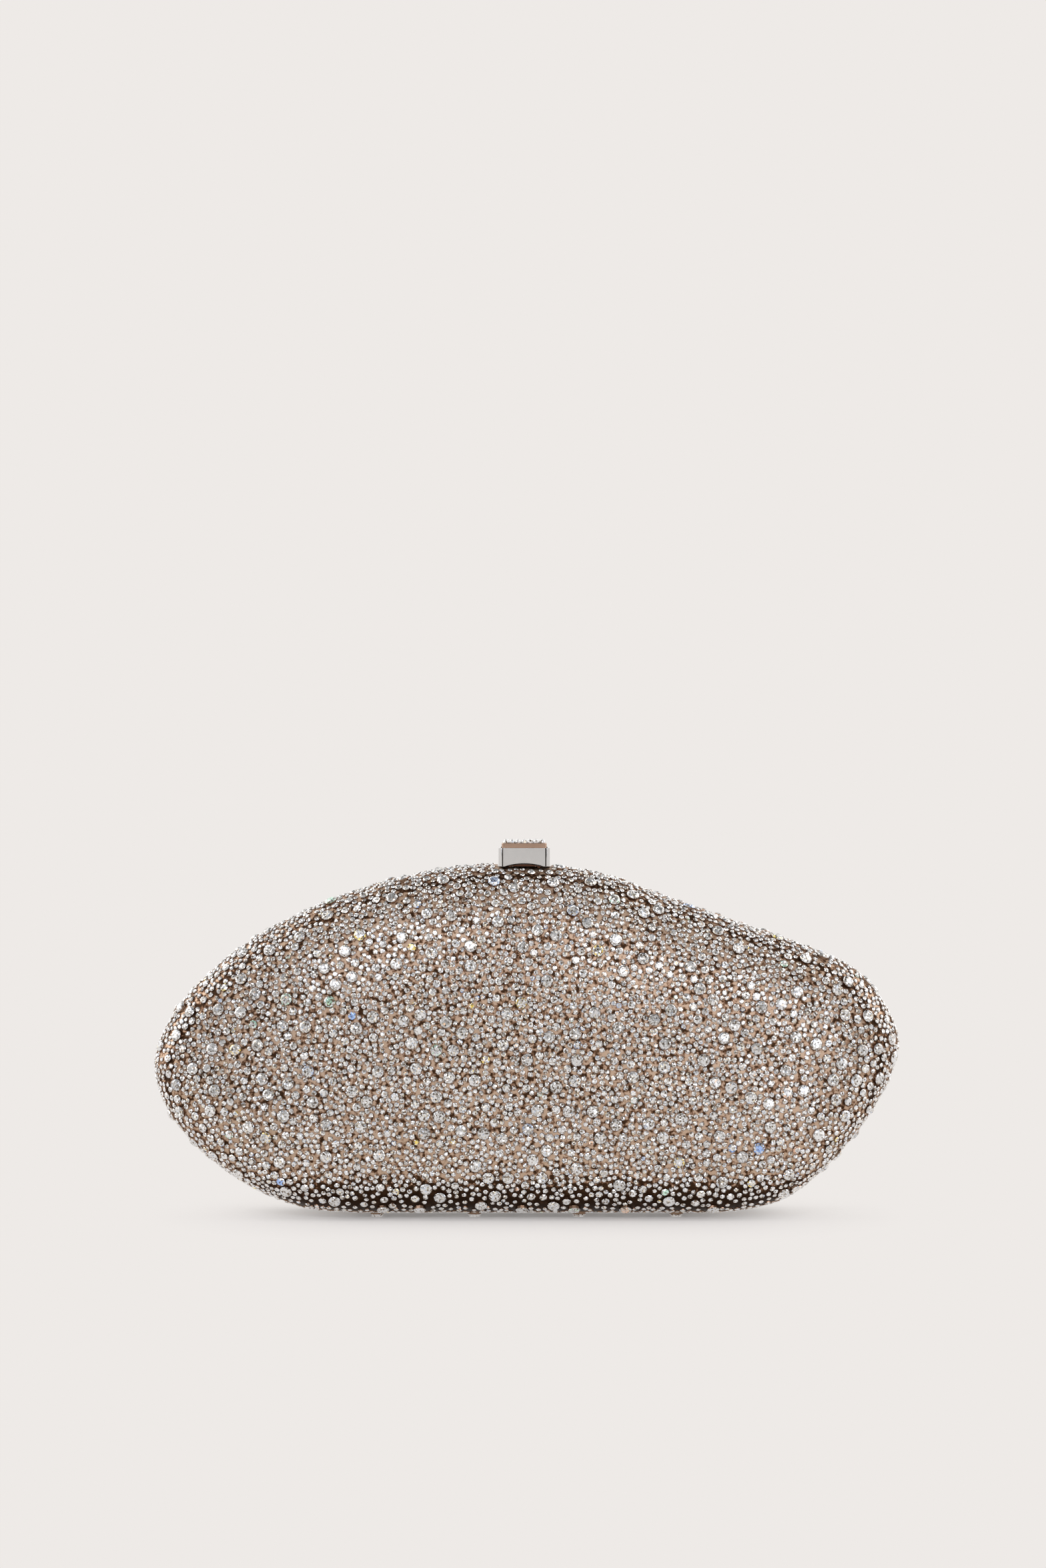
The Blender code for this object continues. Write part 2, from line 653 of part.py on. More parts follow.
def shell(name, side):
    """Half of the pebble, milled flat under the clasp and open along the hinge."""
    made = dome(
        name, side, 0.0, SHELL_DEPTH, SHELL_RING_DEPTHS, SHELL_RINGS, SHELL_WALL, BRONZE_METAL,
    )
    set_stones(made, large_stones(name + "_stones", side, made.data))
    set_stones(made, foot_stones(name + "_feet", side))
    cut(made, SEAT_CUTTER, HINGE_CHANNEL_CUTTER)
    holes = rod_helpers(
        name + "_rivet_hole", LEAF_RIVET_RADIUS + CLEARANCE, leaf_rivet_places(side),
        -CUT_OVERRUN, LEAF_TOP_Z,
    )
    cut(made, *holes)
    return made


def frame_profile(points):
    """A closed section curve in (inset, y) for a frame to be swept along the outline."""
    curve = bpy.data.curves.new("frame_section", "CURVE")
    curve.dimensions = "2D"
    spline = curve.splines.new("POLY")
    spline.points.add(len(points) - 1)
    for point, (inset, y) in zip(spline.points, points):
        point.co = (inset, -y, 0.0, 1.0)
    spline.use_cyclic_u = True
    made = bpy.data.objects.new("frame_section", curve)
    bpy.context.scene.collection.objects.link(made)
    return made


def frame(name, points):
    """An edge band: its section swept along the side view's outline."""
    section = frame_profile(points)
    curve = bpy.data.curves.new(name + "_path", "CURVE")
    curve.dimensions = "2D"
    curve.fill_mode = "NONE"
    curve.bevel_mode = "OBJECT"
    curve.bevel_object = section
    spline = curve.splines.new("POLY")
    loop = outline_loop(0.0)
    spline.points.add(len(loop) - 1)
    for point, place in zip(spline.points, loop):
        point.co = (*place, 0.0, 1.0)
    spline.use_cyclic_u = True
    upright = Matrix.Rotation(math.pi / 2.0, 4, "X")
    made = meshed_curve(name, curve, upright, PARTS, BRIGHT_BRONZE_METAL)
    bpy.data.objects.remove(section, do_unlink=True)
    return made


def frame_section(side, with_lip):
    """An L section, flange and wall, with a lip on the front frame that enters the back one."""
    near = side * PARTING_GAP / 2.0
    flange_back = near + side * FLANGE_THICKNESS
    wall_back = flange_back + side * FRAME_WALL_DEPTH
    wall_inner = FRAME_WALL_INSET + FRAME_WALL_THICKNESS
    points = [(FLANGE_INSET, near)]
    if with_lip:
        lip_outer = wall_inner + CLEARANCE
        lip_inner = lip_outer + LIP_THICKNESS
        points += [
            (lip_outer, near), (lip_outer, LIP_REACH), (lip_inner, LIP_REACH),
            (lip_inner, flange_back), (wall_inner, flange_back),
        ]
    else:
        points += [(wall_inner, near)]
    points += [
        (wall_inner, wall_back), (FRAME_WALL_INSET, wall_back),
        (FRAME_WALL_INSET, flange_back), (FLANGE_INSET, flange_back),
    ]
    return points


def back_frame():
    made = frame("back_frame", frame_section(1, False))
    cut(made, SEAT_CUTTER, HINGE_CHANNEL_CUTTER, CATCH_WINDOW_CUTTER)


def front_frame():
    made = frame("front_frame", frame_section(-1, True))
    lip_back = LIP_REACH + CUT_OVERRUN
    foot = helper("lip_foot_cutter", box_mesh(
        (-SHELL_LENGTH, -PARTING_GAP / 2.0, -CUT_OVERRUN), (SHELL_LENGTH, lip_back, LIP_FOOT_Z),
    ))
    crown = clasp_box(
        "lip_crown_cutter", SEAT_HALF_WIDTH, -PARTING_GAP / 2.0, lip_back, WELL_LOW_Z, ABOVE_ALL_Z,
    )
    cut(made, SEAT_CUTTER, HINGE_CHANNEL_CUTTER, foot, crown)
    return made


def lining(name, side, edge_y):
    """The tray that lines a half, a smaller pebble inside the shell."""
    return dome(
        name, side, LINING_INSET, SHELL_DEPTH - LINING_INSET, [edge_y, 2.0 * edge_y], LINING_RINGS,
        LINING_WALL, SATIN_CLOTH,
    )


# Crystals

def stone_place(point, normal):
    """A stone set into the surface, its axis along the normal."""
    turn = normal.to_track_quat("Z", "Y").to_matrix().to_4x4()
    return Matrix.Translation(point - normal * STONE_SINK) @ turn


def tip_share(way):
    """The station at which the body reaches furthest in x."""
    shares = [index / STATIONS for index in range(STATIONS)]
    return max(shares, key=lambda share: way * outline_at(share)[0].x)


def room_for_stone(point, normal, taken):
    """True where a large stone is clear of the edge, the clasp, the underside and the others."""
    edge = EDGE_Y + LARGE_STONE_RADIUS
    if abs(point.y) < edge or normal.z < LOWEST_STONE_NORMAL_Z:
        return False
    margin = LARGE_STONE_RADIUS + SHELL_WALL
    beside = abs(point.x - CLASP_X) < SEAT_HALF_WIDTH + margin
    if beside and abs(point.y) < SEAT_HALF_DEPTH + margin and point.z > SHELL_CENTRE_Z:
        return False
    return all((point - other).length > LARGE_STONE_SPACING for other in taken)


def large_stone_places(side, shell_mesh):
    """Stones at both tips and on the face's middle, then scattered evenly by area."""
    draw = random.Random(STONE_SEED + side)
    corners = [vert.co for vert in shell_mesh.vertices]
    facets = BVHTree.FromPolygons(corners, [face.vertices for face in shell_mesh.polygons])
    places, taken = [], []
    for way in (-1, 1):
        share = tip_share(way)
        edge_room = EDGE_Y + LARGE_STONE_RADIUS + CLEARANCE
        angle = angle_at_depth(outline_at(share)[0], edge_room, SHELL_DEPTH)
        point = surface_at(share, angle, side)[0]
        taken.append(point)
        places.append(stone_place(facets.find_nearest(point)[0], Vector((way, 0.0, 0.0))))
    middle = Vector((0.0, side * SHELL_DEPTH, SHELL_CENTRE_Z))
    taken.append(middle)
    places.append(stone_place(middle, Vector((0.0, side, 0.0))))
    largest = max(
        surface_at(step / AREA_SAMPLES_AROUND, ring / AREA_SAMPLES_ACROSS * TAU / 4.0, side)[2]
        for step in range(AREA_SAMPLES_AROUND) for ring in range(1, AREA_SAMPLES_ACROSS)
    )
    for _ in range(LARGE_STONE_TRIES):
        share, angle, chance = draw.random(), draw.random() * TAU / 4.0, draw.random()
        point, normal, size = surface_at(share, angle, side)
        if chance * largest > size or len(places) >= LARGE_STONE_MOST:
            continue
        if room_for_stone(point, normal, taken):
            taken.append(point)
            on_facet, facet_normal = facets.find_nearest(point)[:2]
            places.append(stone_place(on_facet, facet_normal))
    print(f"{len(places)} large stones on side {side}")
    return places


def large_stones(name, side, shell_mesh):
    return stones_to_set(
        name, LARGE_STONE_RADIUS, LARGE_STONE_TABLE, LARGE_STONE_STAND + STONE_SINK,
        large_stone_places(side, shell_mesh),
    )


def foot_stones(name, side):
    """Larger stones on the base, tables down, that the bag stands on."""
    places = []
    for share in FOOT_STONE_X_SHARES:
        spot = Vector((share * SHELL_LENGTH / 2.0, side * FOOT_STONE_Y, FOOT_STONE_HEIGHT))
        places.append(Matrix.Translation(spot) @ Matrix.Rotation(math.pi, 4, "X"))
    return stones_to_set(name, FOOT_STONE_RADIUS, FOOT_STONE_TABLE, FOOT_STONE_HEIGHT, places)


# Hinge

def hinge_leaf(name, side):
    """A flat leaf inside the shell with every other knuckle of the barrel."""
    low_y, high_y = sorted((side * LEAF_BACK_Y, side * LEAF_FAR_Y))
    half = HINGE_LENGTH / 2.0
    made = add_mesh_object(name, mesh_from(name, box_mesh(
        (-half, low_y, LEAF_LOW_Z), (half, high_y, LEAF_TOP_Z),
    )), PARTS, STEEL_METAL)
    pitch = (HINGE_LENGTH + CLEARANCE) / KNUCKLE_COUNT
    first = 0 if side > 0 else 1
    seat = CLEARANCE / 2.0
    web_y = sorted((side * PARTING_GAP / 2.0, side * (LEAF_BACK_Y + seat)))
    web_low_z = HINGE_AXIS_Z + (KNUCKLE_RADIUS + KNUCKLE_BORE_RADIUS) / 2.0
    web_top_z = (LEAF_LOW_Z + LEAF_TOP_Z) / 2.0
    for number in range(first, KNUCKLE_COUNT, 2):
        start = -half + pitch * number
        end = start + pitch - CLEARANCE
        barrel = rod_mesh(KNUCKLE_RADIUS, (start, 0.0, HINGE_AXIS_Z), (end, 0.0, HINGE_AXIS_Z))
        web = box_mesh((start + seat, web_y[0], web_low_z), (end - seat, web_y[1], web_top_z))
        join(made, helper(f"{name}_web_{number}", web), helper(f"{name}_knuckle_{number}", barrel))
    bore_end = half + CUT_OVERRUN
    bore = rod_mesh(
        KNUCKLE_BORE_RADIUS, (-bore_end, 0.0, HINGE_AXIS_Z), (bore_end, 0.0, HINGE_AXIS_Z),
    )
    cut(made, helper(name + "_bore", bore))
    cut(made, *rod_helpers(
        name + "_hole", LEAF_RIVET_RADIUS + CLEARANCE, leaf_rivet_places(side),
        LEAF_LOW_Z - CUT_OVERRUN, LEAF_TOP_Z + CUT_OVERRUN,
    ))
    return made


def hinge_pin():
    """The pin through all the knuckles."""
    radius = KNUCKLE_BORE_RADIUS - CLEARANCE
    half = HINGE_LENGTH / 2.0 + PIN_OVERHANG
    bm = rod_mesh(radius, (-half, 0.0, HINGE_AXIS_Z), (half, 0.0, HINGE_AXIS_Z))
    return add_mesh_object("hinge_pin", mesh_from("hinge_pin", bm), PARTS, STEEL_METAL)


def leaf_rivets(name, side):
    """Rivets from inside the leaf down through the shell."""
    head_low = LEAF_TOP_Z + CLEARANCE
    head_top = head_low + LEAF_RIVET_HEAD_HEIGHT
    profile = [
        (0.0, head_top), (LEAF_RIVET_HEAD_RADIUS, head_top), (LEAF_RIVET_HEAD_RADIUS, head_low),
        (LEAF_RIVET_RADIUS, head_low), (LEAF_RIVET_RADIUS, SHELL_BASE_Z), (0.0, SHELL_BASE_Z),
    ]
    places = [(x, y, 0.0) for x, y in leaf_rivet_places(side)]
    return fasteners(name, turned_mesh(name, profile), places, STEEL_METAL)


# Clasp

def chamfered(width, depth, chamfer):
    """A rectangle with cut corners, centred on the clasp."""
    half_x, half_y = width / 2.0, depth / 2.0
    corners = []
    for way_x, way_y in ((1, 1), (-1, 1), (-1, -1), (1, -1)):
        along = (way_x * (half_x - chamfer), way_y * half_y)
        beside = (way_x * half_x, way_y * (half_y - chamfer))
        corners += [beside, along] if way_x == way_y else [along, beside]
    return [(at_clasp(x), y) for x, y in corners]


FLAT = Matrix.Identity(4)


def clasp_block():
    """A square tube with a floor, a boss bar for the screws and an arch over the strike."""
    outer = chamfered(BLOCK_WIDTH, BLOCK_DEPTH, BLOCK_CHAMFER)
    wall = 2.0 * BLOCK_WALL
    inner = chamfered(BLOCK_WIDTH - wall, BLOCK_DEPTH - wall, BLOCK_CHAMFER - BLOCK_WALL / 2.0)
    made = extruded(
        "clasp_block", [outer, inner], BLOCK_BASE_Z, BLOCK_TOP_Z, FLAT, PARTS, SILVER_METAL,
    )
    half = BLOCK_WALL / 2.0
    middle = chamfered(BLOCK_WIDTH - BLOCK_WALL, BLOCK_DEPTH - BLOCK_WALL, BLOCK_CHAMFER)
    floor = extruded("block_floor", [middle], FLOOR_LOW_Z, FLOOR_TOP_Z, FLAT, CUTTERS)
    boss = clasp_box(
        "block_boss", BLOCK_WIDTH / 2.0 - half, TONGUE_LIP_FRONT + TONGUE_LIP_THICKNESS + CLEARANCE,
        BLOCK_DEPTH / 2.0 - BLOCK_CHAMFER, BLOCK_BASE_Z, FLOOR_TOP_Z,
    )
    peg_low = (CLASP_X, SPRING_Y, FLOOR_LOW_Z + BLOCK_FLOOR / 2.0)
    peg_top = (CLASP_X, SPRING_Y, FLOOR_TOP_Z + BLOCK_FLOOR)
    peg = rod_mesh(SPRING_RADIUS - SPRING_WIRE_RADIUS - CLEARANCE, peg_low, peg_top)
    join(made, floor, boss, helper("spring_peg", peg))
    cut(made, arch_cutter(), CATCH_SLOT_CUTTER, *SCREW_CUTTERS)
    return made


def arch_points(width, height):
    """Half width and rise of a shallow arch, as (x, z) from its foot line."""
    radius = (width * width / 4.0 + height * height) / (2.0 * height)
    sweep = math.asin(width / 2.0 / radius)
    points = []
    for step in range(ARCH_STEPS + 1):
        angle = sweep * (1.0 - 2.0 * step / ARCH_STEPS)
        points.append((radius * math.sin(angle), radius * math.cos(angle) - radius + height))
    return points


def arch_cutter():
    """The shallow arch in the block's front wall, on short legs that clear the strike's edges."""
    leg = STRIKE_EDGE + CLEARANCE
    curve = arch_points(ARCH_WIDTH, ARCH_HEIGHT - leg)
    points = [(at_clasp(x), BLOCK_BASE_Z + leg + z) for x, z in curve]
    left, right = at_clasp(-ARCH_WIDTH / 2.0), at_clasp(ARCH_WIDTH / 2.0)
    points += [(left, BLOCK_BASE_Z - CUT_OVERRUN), (right, BLOCK_BASE_Z - CUT_OVERRUN)]
    upright = Matrix.Rotation(math.pi / 2.0, 4, "X")
    front = BLOCK_DEPTH / 2.0
    return extruded(
        "arch_cutter", [points], front - BLOCK_WALL - CLEARANCE, front + CUT_OVERRUN, upright, CUTTERS,
    )


def strike():
    """The plate under the arch, with a tongue over the seam that ends in a turned-down lip."""
    crown = arch_points(STRIKE_WIDTH, STRIKE_CROWN - STRIKE_EDGE)
    points = [(at_clasp(x), BLOCK_BASE_Z + STRIKE_EDGE + z) for x, z in crown]
    left, right = at_clasp(-STRIKE_WIDTH / 2.0), at_clasp(STRIKE_WIDTH / 2.0)
    points += [(left, BLOCK_BASE_Z), (right, BLOCK_BASE_Z)]
    upright = Matrix.Rotation(math.pi / 2.0, 4, "X")
    made = extruded(
        "strike", [points], PARTING_GAP, BLOCK_DEPTH / 2.0, upright, PARTS, BRIGHT_BRONZE_METAL,
    )
    lip_back = TONGUE_LIP_FRONT + TONGUE_LIP_THICKNESS
    tongue_top = BLOCK_BASE_Z + STRIKE_CROWN - TONGUE_DROP
    tongue = clasp_box(
        "strike_tongue", TONGUE_WIDTH / 2.0, STRIKE_PIN_Y, lip_back, BLOCK_BASE_Z, tongue_top,
    )
    lip = clasp_box(
        "strike_lip", TONGUE_WIDTH / 2.0, TONGUE_LIP_FRONT, lip_back, LIP_LOW_Z, tongue_top,
    )
    pins = []
    for number, (x, y) in enumerate(STRIKE_PIN_PLACES):
        low = strike_nut_low_z() - STRIKE_PIN_TAIL
        pin = rod_mesh(STRIKE_PIN_RADIUS, (x, y, low), (x, y, BLOCK_BASE_Z + STRIKE_EDGE / 2.0))
        pins.append(helper(f"strike_pin_{number}", pin))
    join(made, tongue, lip, *pins)
    return made


def strike_nut_low_z():
    """The push nuts sit just under the shell's wall."""
    half_width = STRIKE_PIN_SPREAD / 2.0 + STRIKE_NUT_RADIUS
    return facet_under_z(half_width, STRIKE_PIN_Y - STRIKE_NUT_RADIUS) - STRIKE_NUT_HEIGHT


def strike_nuts():
    inner = STRIKE_PIN_RADIUS + CLEARANCE
    profile = [
        (inner, STRIKE_NUT_HEIGHT), (STRIKE_NUT_RADIUS, STRIKE_NUT_HEIGHT),
        (STRIKE_NUT_RADIUS, 0.0), (inner, 0.0),
    ]
    mesh = turned_mesh("strike_nut", profile, closed=True)
    places = [(x, y, strike_nut_low_z()) for x, y in STRIKE_PIN_PLACES]
    return fasteners("strike_nut", mesh, places, STEEL_METAL)


def bracket():
    """A plate with a raised back edge under the back shell, which the block's screws pull on."""
    half = BRACKET_WIDTH / 2.0
    low = (at_clasp(-half), BRACKET_FRONT_Y, BRACKET_LOW_Z)
    plate = box_mesh(low, (at_clasp(half), BRACKET_BACK_Y, BRACKET_TOP_Z))
    made = add_mesh_object("clasp_bracket", mesh_from("clasp_bracket", plate), PARTS, STEEL_METAL)
    edge_top = facet_under_z(half, BRACKET_BACK_Y)
    edge = clasp_box(
        "bracket_edge", half, BRACKET_BACK_Y - BRACKET_PLATE, BRACKET_BACK_Y, BRACKET_LOW_Z, edge_top,
    )
    join(made, edge)
    cut(made, CATCH_SLOT_CUTTER, *SCREW_CUTTERS)
    return made


def clasp_screws():
    """Two screws from under the bracket, up through the shell into the block."""
    head_top = SCREW_HEAD_LOW_Z + SCREW_HEAD_HEIGHT
    tip = FLOOR_TOP_Z - CLEARANCE
    profile = [
        (0.0, tip), (SCREW_RADIUS, tip), (SCREW_RADIUS, head_top), (SCREW_HEAD_RADIUS, head_top),
        (SCREW_HEAD_RADIUS, SCREW_HEAD_LOW_Z), (0.0, SCREW_HEAD_LOW_Z),
    ]
    places = [(x, y, 0.0) for x, y in SCREW_PLACES]
    return fasteners("clasp_screw", turned_mesh("clasp_screw", profile), places, STEEL_METAL)


def button_cap():
    """The button: a plate with a skirt all round and a socket for the catch."""
    outline = chamfered(BUTTON_WIDTH, BUTTON_DEPTH, BUTTON_CHAMFER)
    made = extruded(
        "button_cap", [outline], SKIRT_LOW_Z, CAP_TOP_Z, FLAT, PARTS, BRIGHT_BRONZE_METAL,
    )
    half_x = BUTTON_WIDTH / 2.0 - BUTTON_SKIRT
    half_y = BUTTON_DEPTH / 2.0 - BUTTON_SKIRT
    hollow = clasp_box(
        "button_hollow", half_x, -half_y, half_y, SKIRT_LOW_Z - CUT_OVERRUN, CAP_UNDER_Z,
    )
    cut(made, hollow)
    socket = clasp_box(
        "catch_socket", CATCH_WIDTH / 2.0 + CLEARANCE + CATCH_SOCKET_WALL,
        CATCH_STEM_FRONT - CLEARANCE - CATCH_SOCKET_WALL, half_y + BUTTON_SKIRT / 2.0,
        SKIRT_LOW_Z + CLEARANCE, CAP_UNDER_Z + BUTTON_PLATE / 2.0,
    )
    join(made, socket)
    cut(made, CATCH_SLOT_CUTTER, CATCH_PIN_CUTTER)
    set_stones(made, button_stones())
    return made


def catch_pin():
    """The pin that holds the catch in the button's socket."""
    start = (CLASP_X, CATCH_STEM_FRONT - CLEARANCE - CATCH_SOCKET_WALL, CATCH_PIN_Z)
    end = (CLASP_X, BUTTON_DEPTH / 2.0 - BUTTON_SKIRT - CLEARANCE, CATCH_PIN_Z)
    bm = rod_mesh(CATCH_PIN_RADIUS, start, end)
    return add_mesh_object("catch_pin", mesh_from("catch_pin", bm), PARTS, STEEL_METAL)


def catch():
    """One bent strip: stem down from the button, arm forward, nose turned up before the lip."""
    stem_top = CAP_UNDER_Z - CLEARANCE
    points = [
        (CATCH_STEM_BACK, stem_top), (CATCH_STEM_FRONT, stem_top),
        (CATCH_STEM_FRONT, CATCH_ARM_TOP_Z), (NOSE_FRONT + CATCH_STRIP, CATCH_ARM_TOP_Z),
        (NOSE_FRONT + CATCH_STRIP, NOSE_TOP_Z), (NOSE_FRONT, NOSE_TOP_Z),
        (NOSE_FRONT, CATCH_ARM_LOW_Z), (CATCH_STEM_BACK, CATCH_ARM_LOW_Z),
    ]
    sideways = Matrix.Rotation(math.pi / 2.0, 4, "Z") @ Matrix.Rotation(math.pi / 2.0, 4, "X")
    half = CATCH_WIDTH / 2.0
    made = extruded(
        "catch", [points], at_clasp(-half), at_clasp(half), sideways, PARTS, STEEL_METAL,
    )
    cut(made, CATCH_PIN_CUTTER)
    return made


def button_stones():
    """Rows of small stones on the button's top."""
    first = -SMALL_STONE_PITCH * (SMALL_STONE_ROWS - 1) / 2.0
    places = []
    for column in range(SMALL_STONE_ROWS):
        for row in range(SMALL_STONE_ROWS):
            x = at_clasp(first + SMALL_STONE_PITCH * column)
            y = first + SMALL_STONE_PITCH * row
            places.append(Matrix.Translation((x, y, CAP_TOP_Z - STONE_SINK)))
    return stones_to_set(
        "button_stones", SMALL_STONE_RADIUS, SMALL_STONE_TABLE, SMALL_STONE_STAND + STONE_SINK, places,
    )


def clasp_spring():
    """The coil between the block's floor and the button, at rest."""
    low = FLOOR_TOP_Z + CLEARANCE + SPRING_WIRE_RADIUS
    high = CAP_UNDER_Z - CLEARANCE - SPRING_WIRE_RADIUS
    count = round(SPRING_TURNS * SPRING_POINTS_PER_TURN)
    curve = bpy.data.curves.new("clasp_spring_path", "CURVE")
    curve.dimensions = "3D"
    curve.bevel_depth = SPRING_WIRE_RADIUS
    curve.bevel_resolution = 1
    curve.use_fill_caps = True
    spline = curve.splines.new("POLY")
    spline.points.add(count)
    for index, point in enumerate(spline.points):
        turn = TAU * index / SPRING_POINTS_PER_TURN
        x = at_clasp(SPRING_RADIUS * math.cos(turn))
        y = SPRING_Y + SPRING_RADIUS * math.sin(turn)
        point.co = (x, y, low + (high - low) * index / count, 1.0)
    pitch = (high - low) / SPRING_TURNS
    print(f"clasp spring: least gap between turns {(pitch - 2.0 * SPRING_WIRE_RADIUS) / MM:.2f} mm")
    return meshed_curve("clasp_spring", curve, FLAT, PARTS, STEEL_METAL)


# Assembly

def ride_on(name, place, pieces):
    """Parent moving pieces to an empty on their joint's axis, where they stand."""
    pivot = bpy.data.objects.new(name, None)
    pivot.location = place
    bpy.context.scene.collection.objects.link(pivot)
    for piece in pieces:
        piece.parent = pivot
        piece.matrix_parent_inverse = Matrix.Translation(place).inverted()


def build_back_half():
    cut(shell("back_shell", 1), CATCH_WINDOW_CUTTER, CATCH_SLOT_CUTTER, *SCREW_CUTTERS)
    back_frame()
    tray_edge = LIP_REACH + CLEARANCE
    cut(lining("back_lining", 1, tray_edge), WELL_CUTTER)
    hinge_leaf("back_hinge_leaf", 1)
    hinge_pin()
    leaf_rivets("back_hinge_rivet", 1)
    clasp_block()
    bracket()
    clasp_screws()
    clasp_spring()


def build_front_half():
    front_shell = shell("front_shell", -1)
    cut(front_shell, *STRIKE_PIN_CUTTERS)
    pieces = [
        front_shell, front_frame(), lining("front_lining", -1, EDGE_Y),
        hinge_leaf("front_hinge_leaf", -1), strike(),
    ]
    pieces += leaf_rivets("front_hinge_rivet", -1) + strike_nuts()
    ride_on("front_half_hinge", (0.0, 0.0, HINGE_AXIS_Z), pieces)


def build_button():
    pieces = [button_cap(), catch(), catch_pin()]
    ride_on("push_button_slide", (CLASP_X, 0.0, CAP_TOP_Z), pieces)


build_back_half()
build_front_half()
build_button()
print(f"crown {CROWN_Z / MM:.2f} mm, button top {CAP_TOP_Z / MM:.2f} mm")
print(f"hinge axis {HINGE_AXIS_Z / MM:.2f} mm, button axis x {CLASP_X / MM:.2f} mm")
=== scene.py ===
# %% [markdown]
# A crystal clutch bag. The CAD frame gives the solids and how they move: two half shells on a
# hinge along the base, and a square push-button clasp on top. This script dresses that frame. The
# frame's box is noted first, so that it can be compared with the dressed bag's box at the end.
# %% Load the frame
import itertools
import math
import random

import bmesh
import bpy
import numpy as np
from mathutils import Matrix, Vector
from mathutils.bvhtree import BVHTree


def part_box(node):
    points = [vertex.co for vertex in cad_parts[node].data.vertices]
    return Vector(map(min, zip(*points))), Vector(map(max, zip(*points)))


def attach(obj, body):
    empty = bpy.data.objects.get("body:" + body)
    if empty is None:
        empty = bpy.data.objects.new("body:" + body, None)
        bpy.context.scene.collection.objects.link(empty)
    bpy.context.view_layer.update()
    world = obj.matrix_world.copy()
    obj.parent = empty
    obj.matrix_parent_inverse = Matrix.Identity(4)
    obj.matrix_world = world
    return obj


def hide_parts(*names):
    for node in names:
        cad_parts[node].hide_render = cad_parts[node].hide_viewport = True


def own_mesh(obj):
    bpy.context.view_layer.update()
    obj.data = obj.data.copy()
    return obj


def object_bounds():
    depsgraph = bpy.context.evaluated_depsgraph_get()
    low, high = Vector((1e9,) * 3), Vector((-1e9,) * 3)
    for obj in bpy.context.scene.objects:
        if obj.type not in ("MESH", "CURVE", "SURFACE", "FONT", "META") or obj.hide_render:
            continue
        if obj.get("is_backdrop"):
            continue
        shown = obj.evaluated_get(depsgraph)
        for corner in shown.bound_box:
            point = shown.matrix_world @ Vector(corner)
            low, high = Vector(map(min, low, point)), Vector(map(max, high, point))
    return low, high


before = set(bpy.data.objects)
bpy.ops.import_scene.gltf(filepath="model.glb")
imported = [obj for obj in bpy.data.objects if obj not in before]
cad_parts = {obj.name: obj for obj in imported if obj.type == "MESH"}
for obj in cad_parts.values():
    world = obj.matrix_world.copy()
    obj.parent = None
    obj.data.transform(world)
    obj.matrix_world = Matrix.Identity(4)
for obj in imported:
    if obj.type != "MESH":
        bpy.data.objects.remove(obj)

MM = 0.001
TAU = 2.0 * math.pi
cad_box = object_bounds()
print("frame box in mm:", [[round(value / MM, 1) for value in corner] for corner in cad_box])

# %% [markdown]
# The camera stands about a metre and a half away with a long lens, as for a product photograph,
# and looks down on the bag by four degrees. The lens is worked out from the photograph's scale,
# and the bag sits low in the frame because the camera is aimed above it, not because the lens is
# shifted.
# %% Camera
PHOTO_WIDTH = 1568
PHOTO_HEIGHT = 2350
PHOTO_PIXEL = 0.2137 * MM
BAG_MIDDLE_COLUMN = 789.5
FLOOR_ROW = 1818.0
CAMERA_DISTANCE = 1500.0 * MM
CAMERA_RISE = math.radians(4.0)
CAMERA_TARGET_Z = 57.0 * MM
SENSOR_HEIGHT_MM = 24.0

focal_pixels = CAMERA_DISTANCE / PHOTO_PIXEL
target_row = FLOOR_ROW - CAMERA_TARGET_Z / PHOTO_PIXEL
below_middle = math.atan((target_row - PHOTO_HEIGHT / 2.0) / focal_pixels)
camera_x = (PHOTO_WIDTH / 2.0 - BAG_MIDDLE_COLUMN) * PHOTO_PIXEL

camera_data = bpy.data.cameras.new("camera")
camera_data.sensor_fit = "VERTICAL"
camera_data.sensor_height = SENSOR_HEIGHT_MM
camera_data.lens = focal_pixels / PHOTO_HEIGHT * SENSOR_HEIGHT_MM
camera_data.clip_start = 10.0 * MM
camera_data.clip_end = 100.0
camera = bpy.data.objects.new("camera", camera_data)
bpy.context.scene.collection.objects.link(camera)
camera.location = (
    camera_x,
    -CAMERA_DISTANCE * math.cos(CAMERA_RISE),
    CAMERA_TARGET_Z + CAMERA_DISTANCE * math.sin(CAMERA_RISE),
)
camera.rotation_euler = (math.pi / 2.0 - CAMERA_RISE + below_middle, 0.0, 0.0)
bpy.context.scene.camera = camera
bpy.context.scene.view_settings.view_transform = "Standard"
print(f"lens {camera_data.lens:.1f} mm")

# %% [markdown]
# Materials are built from nodes. Each one starts from a Principled shader, and numbers that are
# the same all over go straight on its sockets. These helpers keep the node code short.
# %% Node helpers
def new_material(name):
    """A material with its tree and its Principled shader."""
    made = bpy.data.materials.new(name)
    made.use_nodes = True
    return made, made.node_tree, made.node_tree.nodes["Principled BSDF"]


def node(tree, kind, **settings):
    """A node with its properties and its input values set by name."""
    made = tree.nodes.new(kind)
    for key, value in settings.items():
        if hasattr(made, key):
            setattr(made, key, value)
        else:
            made.inputs[key.replace("_", " ").title()].default_value = value
    return made


def math_node(tree, operation, *values):
    """One sum on sockets or numbers."""
    made = tree.nodes.new("ShaderNodeMath")
    made.operation = operation
    for socket, value in zip(made.inputs, values):
        if isinstance(value, (int, float)):
            socket.default_value = value
        else:
            tree.links.new(value, socket)
    return made.outputs["Value"]


